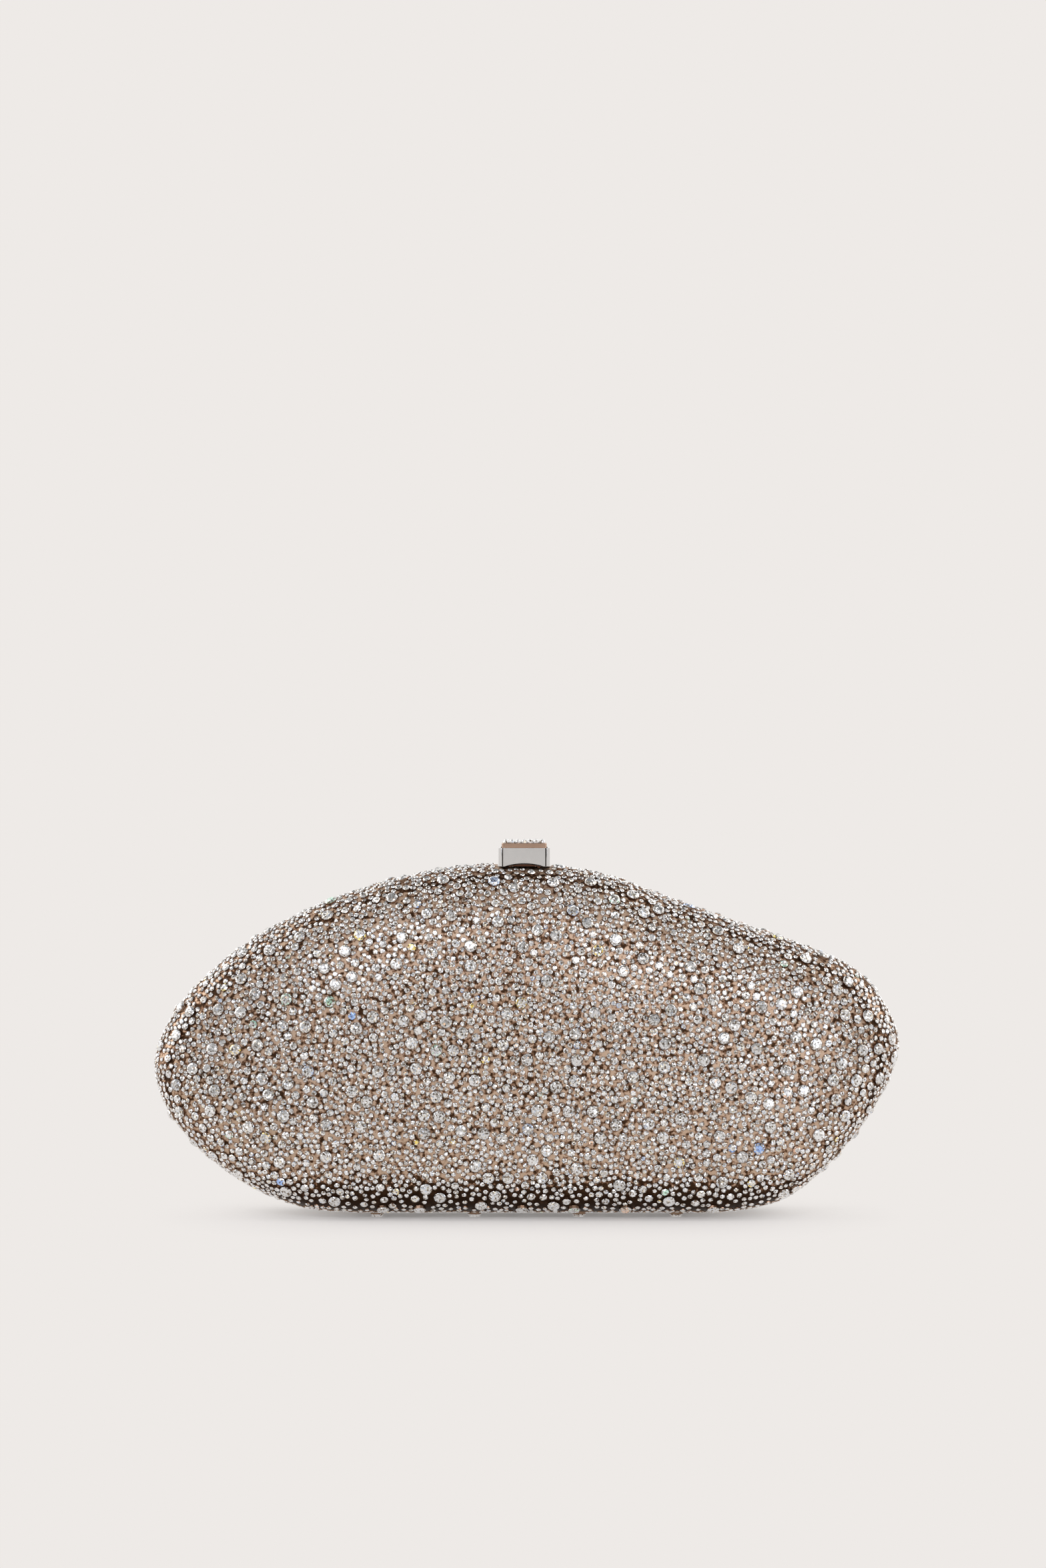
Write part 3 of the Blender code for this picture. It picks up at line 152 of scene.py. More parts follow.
def vector_node(tree, operation, *values):
    """One sum on vectors or colours, given as sockets or as three numbers."""
    made = tree.nodes.new("ShaderNodeVectorMath")
    made.operation = operation
    for socket, value in zip(made.inputs, values):
        if isinstance(value, (tuple, list)):
            socket.default_value = value
        else:
            tree.links.new(value, socket)
    return made.outputs[0]


def map_range(tree, value, start, end, kind="LINEAR"):
    """A value moved from one range to another, and held at its ends."""
    made = node(tree, "ShaderNodeMapRange", interpolation_type=kind)
    made.inputs["From Min"].default_value, made.inputs["From Max"].default_value = start
    made.inputs["To Min"].default_value, made.inputs["To Max"].default_value = end
    tree.links.new(value, made.inputs["Value"])
    return made.outputs["Result"]


def object_axes(tree):
    """The three object coordinates, apart."""
    place = tree.nodes.new("ShaderNodeTexCoord")
    axes = tree.nodes.new("ShaderNodeSeparateXYZ")
    tree.links.new(place.outputs["Object"], axes.inputs["Vector"])
    return axes.outputs


def colour_ramp(tree, factor, stops, constant=False):
    """A colour ramp with (position, colour) stops."""
    made = tree.nodes.new("ShaderNodeValToRGB")
    ramp = made.color_ramp
    ramp.interpolation = "CONSTANT" if constant else "LINEAR"
    while len(ramp.elements) < len(stops):
        ramp.elements.new(1.0)
    for element, (position, colour) in zip(ramp.elements, stops):
        element.position = position
        element.color = (*colour, 1.0)
    tree.links.new(factor, made.inputs["Fac"])
    return made.outputs["Color"]


def object_noise(tree, scale, detail=3.0, stretch=(1.0, 1.0, 1.0)):
    """Noise on object coordinates, which can be stretched."""
    place = tree.nodes.new("ShaderNodeTexCoord")
    mapping = tree.nodes.new("ShaderNodeMapping")
    mapping.inputs["Scale"].default_value = stretch
    noise = node(tree, "ShaderNodeTexNoise", scale=scale, detail=detail)
    tree.links.new(place.outputs["Object"], mapping.inputs["Vector"])
    tree.links.new(mapping.outputs["Vector"], noise.inputs["Vector"])
    return noise.outputs["Fac"]


def add_bump(tree, shader, height, distance, strength=1.0):
    """Bump from a height socket, with its depth in metres."""
    bump = node(tree, "ShaderNodeBump", strength=strength, distance=distance)
    tree.links.new(height, bump.inputs["Height"])
    tree.links.new(bump.outputs["Normal"], shader.inputs["Normal"])


# %% [markdown]
# Polished metal shows its surroundings, so the studio is painted into the world: a soft grey dome
# with bright softboxes in it and dimmer gaps between them. The camera itself sees only the flat
# pale backdrop colour. The world lights the floor evenly, so that the only change on it is the
# bag's own soft shadow.
# %% Studio
BACKDROP = (0.855, 0.823, 0.799)
ROOM_LEVEL = 0.10
PLAIN = (1.0, 0.985, 0.97)
COOL = (0.93, 0.97, 1.10)
ROSE = (1.06, 0.97, 0.93)
# Panels: azimuth and elevation of the middle, half width, half height and soft edge, all in
# degrees, then strength and colour. Azimuth 0 is behind the camera, and 90 is on the bag's right.
PANELS = [
    (0.0, 27.0, 82.0, 50.0, 22.0, 0.34, PLAIN),
    (0.0, 82.0, 95.0, 18.0, 12.0, 0.28, PLAIN),
    (180.0, 18.0, 105.0, 34.0, 10.0, 0.88, PLAIN),
    (-95.0, 37.0, 28.0, 34.0, 8.0, 1.90, PLAIN),
    (95.0, 37.0, 28.0, 34.0, 8.0, 1.36, PLAIN),
    (-18.0, 29.0, 8.5, 10.0, 3.0, 5.4, COOL),
    (14.0, 24.0, 4.5, 9.0, 2.5, 5.8, ROSE),
    (22.5, 18.0, 6.5, 11.0, 2.5, 6.4, COOL),
    (-146.0, 30.0, 10.0, 16.0, 4.0, 2.4, PLAIN),
    (140.0, 30.0, 10.0, 16.0, 4.0, 2.4, PLAIN),
]


def near(tree, value, middle, inner, outer):
    """1 where a value is near its middle, falling smoothly to 0 between two distances from it."""
    away = math_node(tree, "ABSOLUTE", math_node(tree, "SUBTRACT", value, middle))
    return map_range(tree, away, (inner, outer), (1.0, 0.0), "SMOOTHSTEP")


def paint_world():
    """The studio as a world shader."""
    world = bpy.data.worlds.new("studio")
    bpy.context.scene.world = world
    world.use_nodes = True
    tree = world.node_tree
    tree.nodes.clear()
    place = tree.nodes.new("ShaderNodeTexCoord")
    axes = tree.nodes.new("ShaderNodeSeparateXYZ")
    tree.links.new(place.outputs["Generated"], axes.inputs["Vector"])
    behind = math_node(tree, "MULTIPLY", axes.outputs["Y"], -1.0)
    azimuth = math_node(tree, "ARCTAN2", axes.outputs["X"], behind)
    elevation = math_node(tree, "ARCSINE", axes.outputs["Z"])
    room = tree.nodes.new("ShaderNodeRGB")
    room.outputs[0].default_value = (*(channel * ROOM_LEVEL for channel in PLAIN), 1.0)
    light = room.outputs[0]
    for *angles, strength, colour in PANELS:
        middle_turn, middle_lift, half_width, half_height, edge = (math.radians(angle) for angle in angles)
        turn = math_node(tree, "SUBTRACT", azimuth, middle_turn)
        turn = math_node(tree, "WRAP", turn, math.pi, -math.pi)
        across = near(tree, turn, 0.0, half_width - edge, half_width)
        along = near(tree, elevation, middle_lift, half_height - edge, half_height)
        share = math_node(tree, "MULTIPLY", across, along)
        panel = tuple(channel * strength for channel in colour)
        light = vector_node(tree, "MULTIPLY_ADD", share, panel, light)
    studio = tree.nodes.new("ShaderNodeBackground")
    tree.links.new(light, studio.inputs["Color"])
    backdrop = tree.nodes.new("ShaderNodeBackground")
    backdrop.inputs["Color"].default_value = (*BACKDROP, 1.0)
    rays = tree.nodes.new("ShaderNodeLightPath")
    mix = tree.nodes.new("ShaderNodeMixShader")
    output = tree.nodes.new("ShaderNodeOutputWorld")
    tree.links.new(rays.outputs["Is Camera Ray"], mix.inputs[0])
    tree.links.new(studio.outputs[0], mix.inputs[1])
    tree.links.new(backdrop.outputs[0], mix.inputs[2])
    tree.links.new(mix.outputs[0], output.inputs["Surface"])


paint_world()

FLOOR_SIZE = 40.0
FLOOR_ALBEDO = (0.89, 0.87, 0.86)
# The shadow is measured from a rectangle under the bag, given by its half length and half width.
FOOTPRINT = (50.0 * MM, 10.0 * MM)
SHADOW_REACH = (-8.0 * MM, 70.0 * MM)
SHADOW_SHARE = (0.84, 0.0)
MIRRORED_SHADOW = 0.9


def lay_floor():
    """A pale floor: the backdrop colour, with the bag's own shadow on it, strongest close by."""
    bpy.ops.mesh.primitive_plane_add(size=FLOOR_SIZE)
    floor = bpy.context.object
    floor.name = "floor"
    made, tree, shader = new_material("pale_floor")
    shader.inputs["Base Color"].default_value = (*FLOOR_ALBEDO, 1.0)
    shader.inputs["Roughness"].default_value = 0.9
    shader.inputs["Specular IOR Level"].default_value = 0.0
    pale = tree.nodes.new("ShaderNodeEmission")
    pale.inputs["Color"].default_value = (*BACKDROP, 1.0)
    rays = tree.nodes.new("ShaderNodeLightPath")
    squares = []
    axes = object_axes(tree)
    for axis, edge in zip("XY", FOOTPRINT):
        away = math_node(tree, "SUBTRACT", math_node(tree, "ABSOLUTE", axes[axis]), edge)
        squares.append(math_node(tree, "POWER", math_node(tree, "MAXIMUM", away, 0.0), 2.0))
    distance = math_node(tree, "SQRT", math_node(tree, "ADD", *squares))
    shadow = map_range(tree, distance, SHADOW_REACH, SHADOW_SHARE)
    plain = math_node(tree, "SUBTRACT", 1.0, shadow)
    seen = math_node(tree, "MULTIPLY", rays.outputs["Is Camera Ray"], plain)
    close = math_node(tree, "MULTIPLY", math_node(tree, "POWER", shadow, 2.0), MIRRORED_SHADOW)
    plain = math_node(tree, "SUBTRACT", 1.0, close)
    for ray in ("Is Glossy Ray", "Is Transmission Ray"):
        mirrored = math_node(tree, "MULTIPLY", rays.outputs[ray], plain)
        seen = math_node(tree, "MAXIMUM", seen, mirrored)
    mix = tree.nodes.new("ShaderNodeMixShader")
    tree.links.new(seen, mix.inputs[0])
    tree.links.new(shader.outputs[0], mix.inputs[1])
    tree.links.new(pale.outputs[0], mix.inputs[2])
    tree.links.new(mix.outputs[0], tree.nodes["Material Output"].inputs["Surface"])
    floor.data.materials.append(made)
    floor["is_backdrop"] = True


lay_floor()

# %% [markdown]
# The plating on the shell is a warm bronze with a soft polish. Up close it is never one colour, so
# slow noise moves its tone a little, fine noise moves its roughness, and a very shallow bump lets
# the reflections waver as they do on hand-finished metal. The clasp is the same idea in silver,
# and the steel parts inside get a brushed grain.
# %% Metals
SLOW_SHARE = 1.0 / 6.0
FINE_DETAIL = 5.0


def metal(name, low, high, roughness, grain, bump=0.0, stretch=(1.0, 1.0, 1.0)):
    """Polished or brushed metal between two close tones."""
    made, tree, shader = new_material(name)
    shader.inputs["Metallic"].default_value = 1.0
    slow = object_noise(tree, grain * SLOW_SHARE)
    tree.links.new(colour_ramp(tree, slow, [(0.3, low), (0.7, high)]), shader.inputs["Base Color"])
    fine = object_noise(tree, grain, FINE_DETAIL, stretch)
    rough = math_node(tree, "MULTIPLY_ADD", fine, roughness * 0.8, roughness * 0.6)
    tree.links.new(rough, shader.inputs["Roughness"])
    if bump:
        add_bump(tree, shader, fine, bump)
    return made


SHOULDER_Y = 11.5 * MM
SHOULDER_HALF_WIDTH = 0.7 * MM
SHOULDER_DARKER = -0.12
SHADE_SPOTS_PER_METRE = 760.0
PLATE_GRAIN_PER_METRE = 900.0
# Painted light and shade: between two heights, how much darker (below 0) or paler the plate is at the lower
# and the upper; painted shade along the base, painted light on the top and on the low body.
PLATE_PAINTED_LIGHT_AND_SHADE = [
    ((6.0 * MM, 15.0 * MM), (-0.44, 0.0)),
    ((75.0 * MM, 100.0 * MM), (0.0, 0.03)),
    ((25.0 * MM, 45.0 * MM), (0.03, 0.0)),
]
PLATE_COLOURS = [
    (0.1, (0.03, 0.015, 0.008)), (0.40, (0.06, 0.03, 0.015)),
    (0.48, (0.27, 0.150, 0.090)), (0.56, (0.60, 0.44, 0.32)),
]


def patchy_bronze():
    """Bronze plate in a random tone whose dark spots are painted shade between the stones, darker along the
    shoulder line, with painted shade along the base and painted light on the top and the low body.
    """
    made, tree, shader = new_material("bronze_plate")
    shader.inputs["Metallic"].default_value = 1.0
    axes = object_axes(tree)
    depth = math_node(tree, "ABSOLUTE", axes["Y"])
    line = near(tree, depth, SHOULDER_Y, SHOULDER_HALF_WIDTH, 2.0 * SHOULDER_HALF_WIDTH)
    # Random tone, whose dark spots are painted shade between the stones.
    shade_spots = object_noise(tree, SHADE_SPOTS_PER_METRE, 2.0)
    shade_spots = math_node(tree, "MULTIPLY_ADD", line, SHOULDER_DARKER, shade_spots)
    # Painted shade along the base, painted light on the top and on the low body.
    for heights, light_and_shade in PLATE_PAINTED_LIGHT_AND_SHADE:
        shade_spots = math_node(tree, "ADD", shade_spots, map_range(tree, axes["Z"], heights, light_and_shade))
    tree.links.new(colour_ramp(tree, shade_spots, PLATE_COLOURS), shader.inputs["Base Color"])
    fine = object_noise(tree, PLATE_GRAIN_PER_METRE, FINE_DETAIL)
    tree.links.new(math_node(tree, "MULTIPLY_ADD", fine, 0.20, 0.42), shader.inputs["Roughness"])
    add_bump(tree, shader, fine, 0.004 * MM)
    return made


BRONZE = patchy_bronze()
# The strike's bronze is dark: painted shade, as the strike stands in the recess under the clasp.
DARK_BRONZE_PAINTED_SHADE = metal(
    "dark_bronze_painted_shade", (0.085, 0.038, 0.024), (0.13, 0.062, 0.038), 0.22, 700.0, 0.002 * MM,
)
BRIGHT_BRONZE = metal(
    "bright_bronze", (0.44, 0.29, 0.21), (0.56, 0.385, 0.29), 0.16, 700.0, 0.002 * MM,
)
SILVER = metal("silver_plate", (0.66, 0.652, 0.648), (0.72, 0.712, 0.708), 0.15, 500.0)
# Dark silver for the inside of the clasp's grooves: painted shade.
GROOVE_PAINTED_SHADE = metal("groove_painted_shade", (0.05, 0.045, 0.04), (0.09, 0.08, 0.07), 0.35, 500.0)
STEEL = metal(
    "brushed_steel", (0.52, 0.51, 0.50), (0.64, 0.63, 0.62), 0.30, 1400.0, 0.004 * MM, (1.0, 8.0, 8.0),
)
# Bronze of the stone cups, darker than the plate: painted shade for the gap round each stone.
SEAT_METAL_PAINTED_SHADE = metal("stone_seat_painted_shade", (0.20, 0.125, 0.082), (0.32, 0.21, 0.145), 0.25, 900.0)

# %% [markdown]
# A foil-backed crystal looks like many small mirrors behind clear glass: some show a light, some
# show the dark. The glass is a clear coat on the cut facets. Under it, cells of a Voronoi pattern
# tilt the mirror, most of them a little and a few a lot, as the facets at the back of a real stone
# do, and each cell takes one of a few tints. Some facets flash in one of the colours that cut glass
# throws, and that colour is an attribute on the faces.
# %% Crystal
FACET_CELLS_PER_METRE = 2100.0
FACET_TILT = 1.7
# White, blue and warm cells are the foil's tints. Grey and dark brown cells are painted reflection: facets
# darkened as if they mirrored the dark.
FACET_TINTS_AND_PAINTED_REFLECTION = [
    (0.0, (0.94, 0.94, 0.94)), (0.46, (0.64, 0.61, 0.57)), (0.66, (0.21, 0.15, 0.10)),
    (0.80, (0.93, 0.93, 0.94)), (0.92, (0.78, 0.86, 1.0)), (0.96, (0.98, 0.88, 0.68)),
]
FIRE = "fire"


def crystal(name, cells, mirror_share):
    """A foil-backed crystal. What isn't mirror in it is white glare."""
    made, tree, shader = new_material(name)
    shader.inputs["Metallic"].default_value = mirror_share
    shader.inputs["Roughness"].default_value = 0.05
    shader.inputs["Coat Weight"].default_value = 1.0
    shader.inputs["Coat Roughness"].default_value = 0.02
    shader.inputs["Coat IOR"].default_value = 1.6
    place = tree.nodes.new("ShaderNodeTexCoord")
    facets = node(tree, "ShaderNodeTexVoronoi", scale=cells)
    tree.links.new(place.outputs["Object"], facets.inputs["Vector"])
    parts = tree.nodes.new("ShaderNodeSeparateColor")
    tree.links.new(facets.outputs["Color"], parts.inputs[0])
    centred = vector_node(tree, "SUBTRACT", facets.outputs["Color"], (0.5, 0.5, 0.5))
    reach = math_node(tree, "MULTIPLY", math_node(tree, "POWER", parts.outputs[0], 2.0), FACET_TILT)
    tilt = vector_node(tree, "MULTIPLY", centred, reach)
    surface = tree.nodes.new("ShaderNodeNewGeometry")
    lean = vector_node(tree, "ADD", surface.outputs["Normal"], tilt)
    tree.links.new(vector_node(tree, "NORMALIZE", lean), shader.inputs["Normal"])
    tint_and_painted_reflection = colour_ramp(tree, parts.outputs[2], FACET_TINTS_AND_PAINTED_REFLECTION, constant=True)
    fire = tree.nodes.new("ShaderNodeAttribute")
    fire.attribute_name = FIRE
    colour = node(tree, "ShaderNodeMix", data_type="RGBA", blend_type="MULTIPLY")
    colour.inputs[0].default_value = 1.0
    tree.links.new(tint_and_painted_reflection, colour.inputs[6])
    tree.links.new(fire.outputs["Color"], colour.inputs[7])
    tree.links.new(colour.outputs[2], shader.inputs["Base Color"])
    return made


CRYSTAL = crystal("crystal", FACET_CELLS_PER_METRE, 0.80)
PAVE_CRYSTAL = crystal("pave_crystal", FACET_CELLS_PER_METRE, 0.35)

# %% [markdown]
# The bag's form is a pebble. Seen from the front it is one free closed curve, and every section
# through it is a rounded box that grows squarer towards the base. The curve and the sections are
# the same as those of the CAD solids, only much finer, so the dressed shell lies on the solid one.
# %% The pebble's form
HALF_LENGTH = 118.8 * MM
SHELL_HEIGHT = 110.5 * MM
SHELL_DEPTH = 25.8 * MM
SKIN_DROP = 0.25 * MM
SKIN_DEPTH = SHELL_DEPTH - 0.34 * MM
SKIN_WALL = 0.9 * MM
SHELL_BASE_Z = 1.3 * MM
CENTRE_Z = SHELL_BASE_Z + 0.45 * SHELL_HEIGHT
EDGE_Y = 1.25 * MM
OUTLINE_SHARES = [
    (0.00, 0.000), (0.30, 0.000), (0.46, 0.000), (0.58, 0.008), (0.70, 0.045), (0.80, 0.130),
    (0.915, 0.270), (0.982, 0.400), (1.00, 0.485), (0.967, 0.590), (0.885, 0.695), (0.75, 0.763),
    (0.55, 0.838), (0.37, 0.908), (0.20, 0.973), (0.00, 1.000), (-0.20, 0.990), (-0.42, 0.937),
    (-0.63, 0.848), (-0.82, 0.718), (-0.955, 0.560), (-1.00, 0.425), (-0.965, 0.295),
    (-0.875, 0.180), (-0.74, 0.075), (-0.60, 0.016), (-0.44, 0.000), (-0.25, 0.000),
]
OUTLINE_STEPS = 10
RINGS = 40


def spline_points(places, steps):
    """A closed centripetal Catmull-Rom curve through the places."""
    made = []
    count = len(places)
    for index in range(count):
        a, b, c, d = (Vector(places[(index + shift) % count]) for shift in (-1, 0, 1, 2))
        t1 = math.sqrt((b - a).length)
        t2 = t1 + math.sqrt((c - b).length)
        t3 = t2 + math.sqrt((d - c).length)
        for step in range(steps):
            t = t1 + (t2 - t1) * step / steps
            ab = a.lerp(b, t / t1)
            bc = b.lerp(c, (t - t1) / (t2 - t1))
            cd = c.lerp(d, (t - t2) / (t3 - t2))
            abc = ab.lerp(bc, t / t2)
            bcd = bc.lerp(cd, (t - t1) / (t3 - t1))
            made.append(abc.lerp(bcd, (t - t1) / (t2 - t1)))
    return made


def outline_loop(inset):
    """Points on the front view's outline, moved inwards."""
    places = [(x * HALF_LENGTH, z * SHELL_HEIGHT) for x, z in OUTLINE_SHARES]
    line = [Vector((p.x, SHELL_BASE_Z + max(p.y, 0.0))) for p in spline_points(places, OUTLINE_STEPS)]
    loop = []
    for index, point in enumerate(line):
        along = (line[(index + 1) % len(line)] - line[index - 1]).normalized()
        loop.append(point - Vector((along.y, -along.x)) * inset)
    return loop


def section_power(edge):
    """How square the section is that starts from this point of the outline."""
    drop = (CENTRE_Z - edge.y) / Vector((edge.x, edge.y - CENTRE_Z)).length
    blend = min(max((drop + 0.15) / 0.70, 0.0), 1.0)
    return 2.5 + 2.5 * blend ** 3 * (blend * (6.0 * blend - 15.0) + 10.0)


def pebble_point(edge, angle, depth, side):
    """A point of the half pebble, from its edge at angle 0 to its middle at a quarter turn."""
    power = section_power(edge)
    reach = max(math.cos(angle), 0.0) ** (2.0 / power)
    y = depth * max(math.sin(angle), 0.0) ** (2.0 / power)
    return Vector((edge.x * reach, side * y, CENTRE_Z + (edge.y - CENTRE_Z) * reach))


STATIONS = len(outline_loop(0.0))
print(f"{STATIONS} points round the outline")

# %% [markdown]
# Small habits that keep modelling by operator safe: everything is deselected before a new
# primitive is added, modifiers are applied as soon as they have done their work, and a finished
# piece is handed to the frame with its body, its finish and the CAD nodes that it stands for.
# %% Modelling helpers
def fresh():
    """Deselect all, so that the next primitive is alone in its selection."""
    if bpy.context.object and bpy.context.object.mode != "OBJECT":
        bpy.ops.object.mode_set(mode="OBJECT")
    bpy.ops.object.select_all(action="DESELECT")


def make_active(piece):
    """Select this piece alone."""
    fresh()
    piece.select_set(True)
    bpy.context.view_layer.objects.active = piece


def apply_all(piece):
    """Apply each modifier in turn, as by hand."""
    make_active(piece)
    for modifier in list(piece.modifiers):
        bpy.ops.object.modifier_apply(modifier=modifier.name)


def carve(piece, *cutters):
    """Cut each cutter from the piece, then throw the cutters away."""
    for cutter in cutters:
        modifier = piece.modifiers.new("cut", "BOOLEAN")
        modifier.operation = "DIFFERENCE"
        modifier.solver = "EXACT"
        modifier.object = cutter
    apply_all(piece)
    for cutter in cutters:
        bpy.data.objects.remove(cutter, do_unlink=True)


def block(name, low, high):
    """A box between two corners."""
    low, high = Vector(low), Vector(high)
    fresh()
    bpy.ops.mesh.primitive_cube_add(size=1.0, location=(low + high) / 2.0)
    made = bpy.context.object
    made.name = name
    made.scale = high - low
    bpy.ops.object.transform_apply(location=True, rotation=True, scale=True)
    return made


def rod(name, radius, low, high, sides=24):
    """An upright or lying cylinder from one point to another."""
    low, high = Vector(low), Vector(high)
    fresh()
    turn = (high - low).to_track_quat("Z", "Y").to_euler()
    bpy.ops.mesh.primitive_cylinder_add(
        vertices=sides, radius=radius, depth=(high - low).length, location=(low + high) / 2.0,
        rotation=turn,
    )
    made = bpy.context.object
    made.name = name
    bpy.ops.object.transform_apply(location=True, rotation=True, scale=True)
    return made


def soften(piece, width, segments=2, angle=35.0):
    """A small bevel on the sharp edges, then smooth shading that keeps the large faces flat."""
    bevel = piece.modifiers.new("soft_edges", "BEVEL")
    bevel.width = width
    bevel.segments = segments
    bevel.limit_method = "ANGLE"
    bevel.angle_limit = math.radians(angle)
    apply_all(piece)
    bpy.ops.object.shade_smooth_by_angle(angle=math.radians(angle))
    flat = piece.modifiers.new("flat_faces", "WEIGHTED_NORMAL")
    flat.keep_sharp = True
    apply_all(piece)


def hand_over(piece, body, slot, finish, *stands_for):
    """Ride on a body and hide the CAD nodes that the piece stands for; the slot is not used."""
    if finish:
        piece.data.materials.clear()
        piece.data.materials.append(finish)
    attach(piece, body)
    if stands_for:
        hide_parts(*stands_for)
    print(f"{piece.name}: {len(piece.data.polygons)} faces")


# %% [markdown]
# Each half starts as a sphere. Its far half is deleted, every vertex moves to its place on the
# pebble by station and ring, and Solidify gives the wall its thickness. The same recipe, a little
# smaller, makes the tray of the lining.
# %% Half pebbles
def half_pebble(name, side, inset, depth, edge_y, wall, rings=RINGS):
    """An open half pebble with a wall, from a sphere."""
    loop = outline_loop(inset)
    fresh()
    bpy.ops.mesh.primitive_uv_sphere_add(segments=STATIONS, ring_count=2 * rings, radius=1.0)
    made = bpy.context.object
    made.name = name
    bm = bmesh.new()
    bm.from_mesh(made.data)
    step = math.pi / (2 * rings)
    bmesh.ops.rotate(bm, verts=bm.verts, matrix=Matrix.Rotation(math.pi / 2.0, 3, "X"))
    spare = [vert for vert in bm.verts if vert.co.y * side < -math.sin(step / 2.0)]
    bmesh.ops.delete(bm, geom=spare, context="VERTS")
    for vert in bm.verts:
        ring = round(math.asin(max(min(vert.co.y * side, 1.0), -1.0)) / step)
        station = round(math.atan2(vert.co.z, vert.co.x) / TAU * STATIONS) % STATIONS
        edge = loop[station]
        first = math.asin((edge_y / depth) ** (section_power(edge) / 2.0))
        share = ring / rings
        vert.co = pebble_point(edge, first + (math.pi / 2.0 - first) * share, depth, side)
    bm.to_mesh(made.data)
    bm.free()
    outer = made.data.copy()
    solid = made.modifiers.new("wall", "SOLIDIFY")
    solid.thickness = wall
    solid.offset = -1.0
    solid.use_even_offset = True
    apply_all(made)
    return made, outer


CLEARANCE = 0.3 * MM
block_low, block_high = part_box("clasp_block")
leaf_low, leaf_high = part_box("back_hinge_leaf")
pin_low, pin_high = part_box("hinge_pin")
catch_low, catch_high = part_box("catch")
CLASP_X = (block_low.x + block_high.x) / 2.0
SEAT_Z = block_low.z - CLEARANCE
SEAT_MARGIN = 0.35 * MM
CHANNEL_HALF_WIDTH = 1.95 * MM
BELOW = -2.0 * MM
ABOVE = block_high.z + 2.0 * MM
CROWN_Z = 106.0 * MM
WINDOW_HALF_WIDTH = 4.0 * MM
WINDOW_LOW_Z = catch_low.z - 2.2 * MM
RIVET_HOLE = 0.9 * MM
SCREW_HOLE = 1.1 * MM
NUT_HOLE = 1.0 * MM


def seat_cutter():
    """The flat that is milled across both halves under the clasp."""
    low = (block_low.x - SEAT_MARGIN, block_low.y - SEAT_MARGIN, SEAT_Z)
    return block("seat", low, (block_high.x + SEAT_MARGIN, block_high.y + SEAT_MARGIN, ABOVE))


def channel_cutter():
    """The gap along the base that the hinge barrel lies in."""
    low = (pin_low.x - CLEARANCE, -CHANNEL_HALF_WIDTH, BELOW)
    high = (pin_high.x + CLEARANCE, CHANNEL_HALF_WIDTH, leaf_high.z + CLEARANCE)
    return block("channel", low, high)


def catch_slot(front, low_z, high_z):
    """Room for the catch, from the given front to just behind it."""
    low = (catch_low.x - CLEARANCE, front - CLEARANCE, low_z)
    return block("slot", low, (catch_high.x + CLEARANCE, catch_high.y + CLEARANCE, high_z))


def window_cutters():
    """The openings in the back half that the catch and the strike's lip work in."""
    window_back = catch_high.y - 2.0 * CLEARANCE
    window = block(
        "window", (CLASP_X - WINDOW_HALF_WIDTH, -1.0 * MM, WINDOW_LOW_Z),
        (CLASP_X + WINDOW_HALF_WIDTH, window_back, ABOVE),
    )
    return [window, catch_slot(window_back, WINDOW_LOW_Z, ABOVE)]


def hole_cutters(fastener, numbers, radius, low_z, high_z):
    """An upright hole round each of the named fasteners."""
    made = []
    for number in numbers:
        low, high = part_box(f"{fastener}_{number}")
        x, y = (low.x + high.x) / 2.0, (low.y + high.y) / 2.0
        made.append(rod("hole", radius, (x, y, low_z), (x, y, high_z)))
    return made


SMOOTH_ANGLE = math.radians(40.0)
skins = {}


def make_shell(side):
    """One half shell, cut like its CAD node. Its uncut outer surface is kept to set stones on."""
    half = "back" if side > 0 else "front"
    made, skins[side] = half_pebble(f"{half}_skin", side, SKIN_DROP, SKIN_DEPTH, EDGE_Y, SKIN_WALL)
    cutters = [seat_cutter(), channel_cutter()]
    cutters += hole_cutters(f"{half}_hinge_rivet", (1, 2, 3), RIVET_HOLE, BELOW, leaf_low.z + MM)
    if side > 0:
        cutters += window_cutters() + hole_cutters("clasp_screw", (1, 2), SCREW_HOLE, CROWN_Z, ABOVE)
    else:
        cutters += hole_cutters("strike_nut", (1, 2), NUT_HOLE, CROWN_Z, ABOVE)
    carve(made, *cutters)
    bpy.ops.object.shade_smooth_by_angle(angle=SMOOTH_ANGLE)
    hand_over(made, f"{half}_half", "crystal_set_shell", BRONZE, f"{half}_shell")


for side in (1, -1):
    make_shell(side)

# %% [markdown]
# Round the mouth of each half runs a bright band: a flange that the two halves close on, and a
# wall that stiffens the rim. On the real bag it is a drawn strip bent to the outline and soldered
# in. Here a section is swept along the outline as a curve and then made a mesh. The front band
# has a lip that steps inside the back one, so that no light shows through the closed seam.
# %% Rim bands
HALF_GAP = 0.15 * MM
FLANGE_Y = 0.95 * MM
FLANGE_INSET = 0.2 * MM
WALL_OUTER = 2.6 * MM
WALL_INNER = 3.4 * MM
WALL_Y = 3.5 * MM
LIP_INNER = 4.3 * MM
LIP_Y = 1.5 * MM
LIP_FOOT_Z = 12.0 * MM
LIP_CROWN_HALF_WIDTH = 8.5 * MM


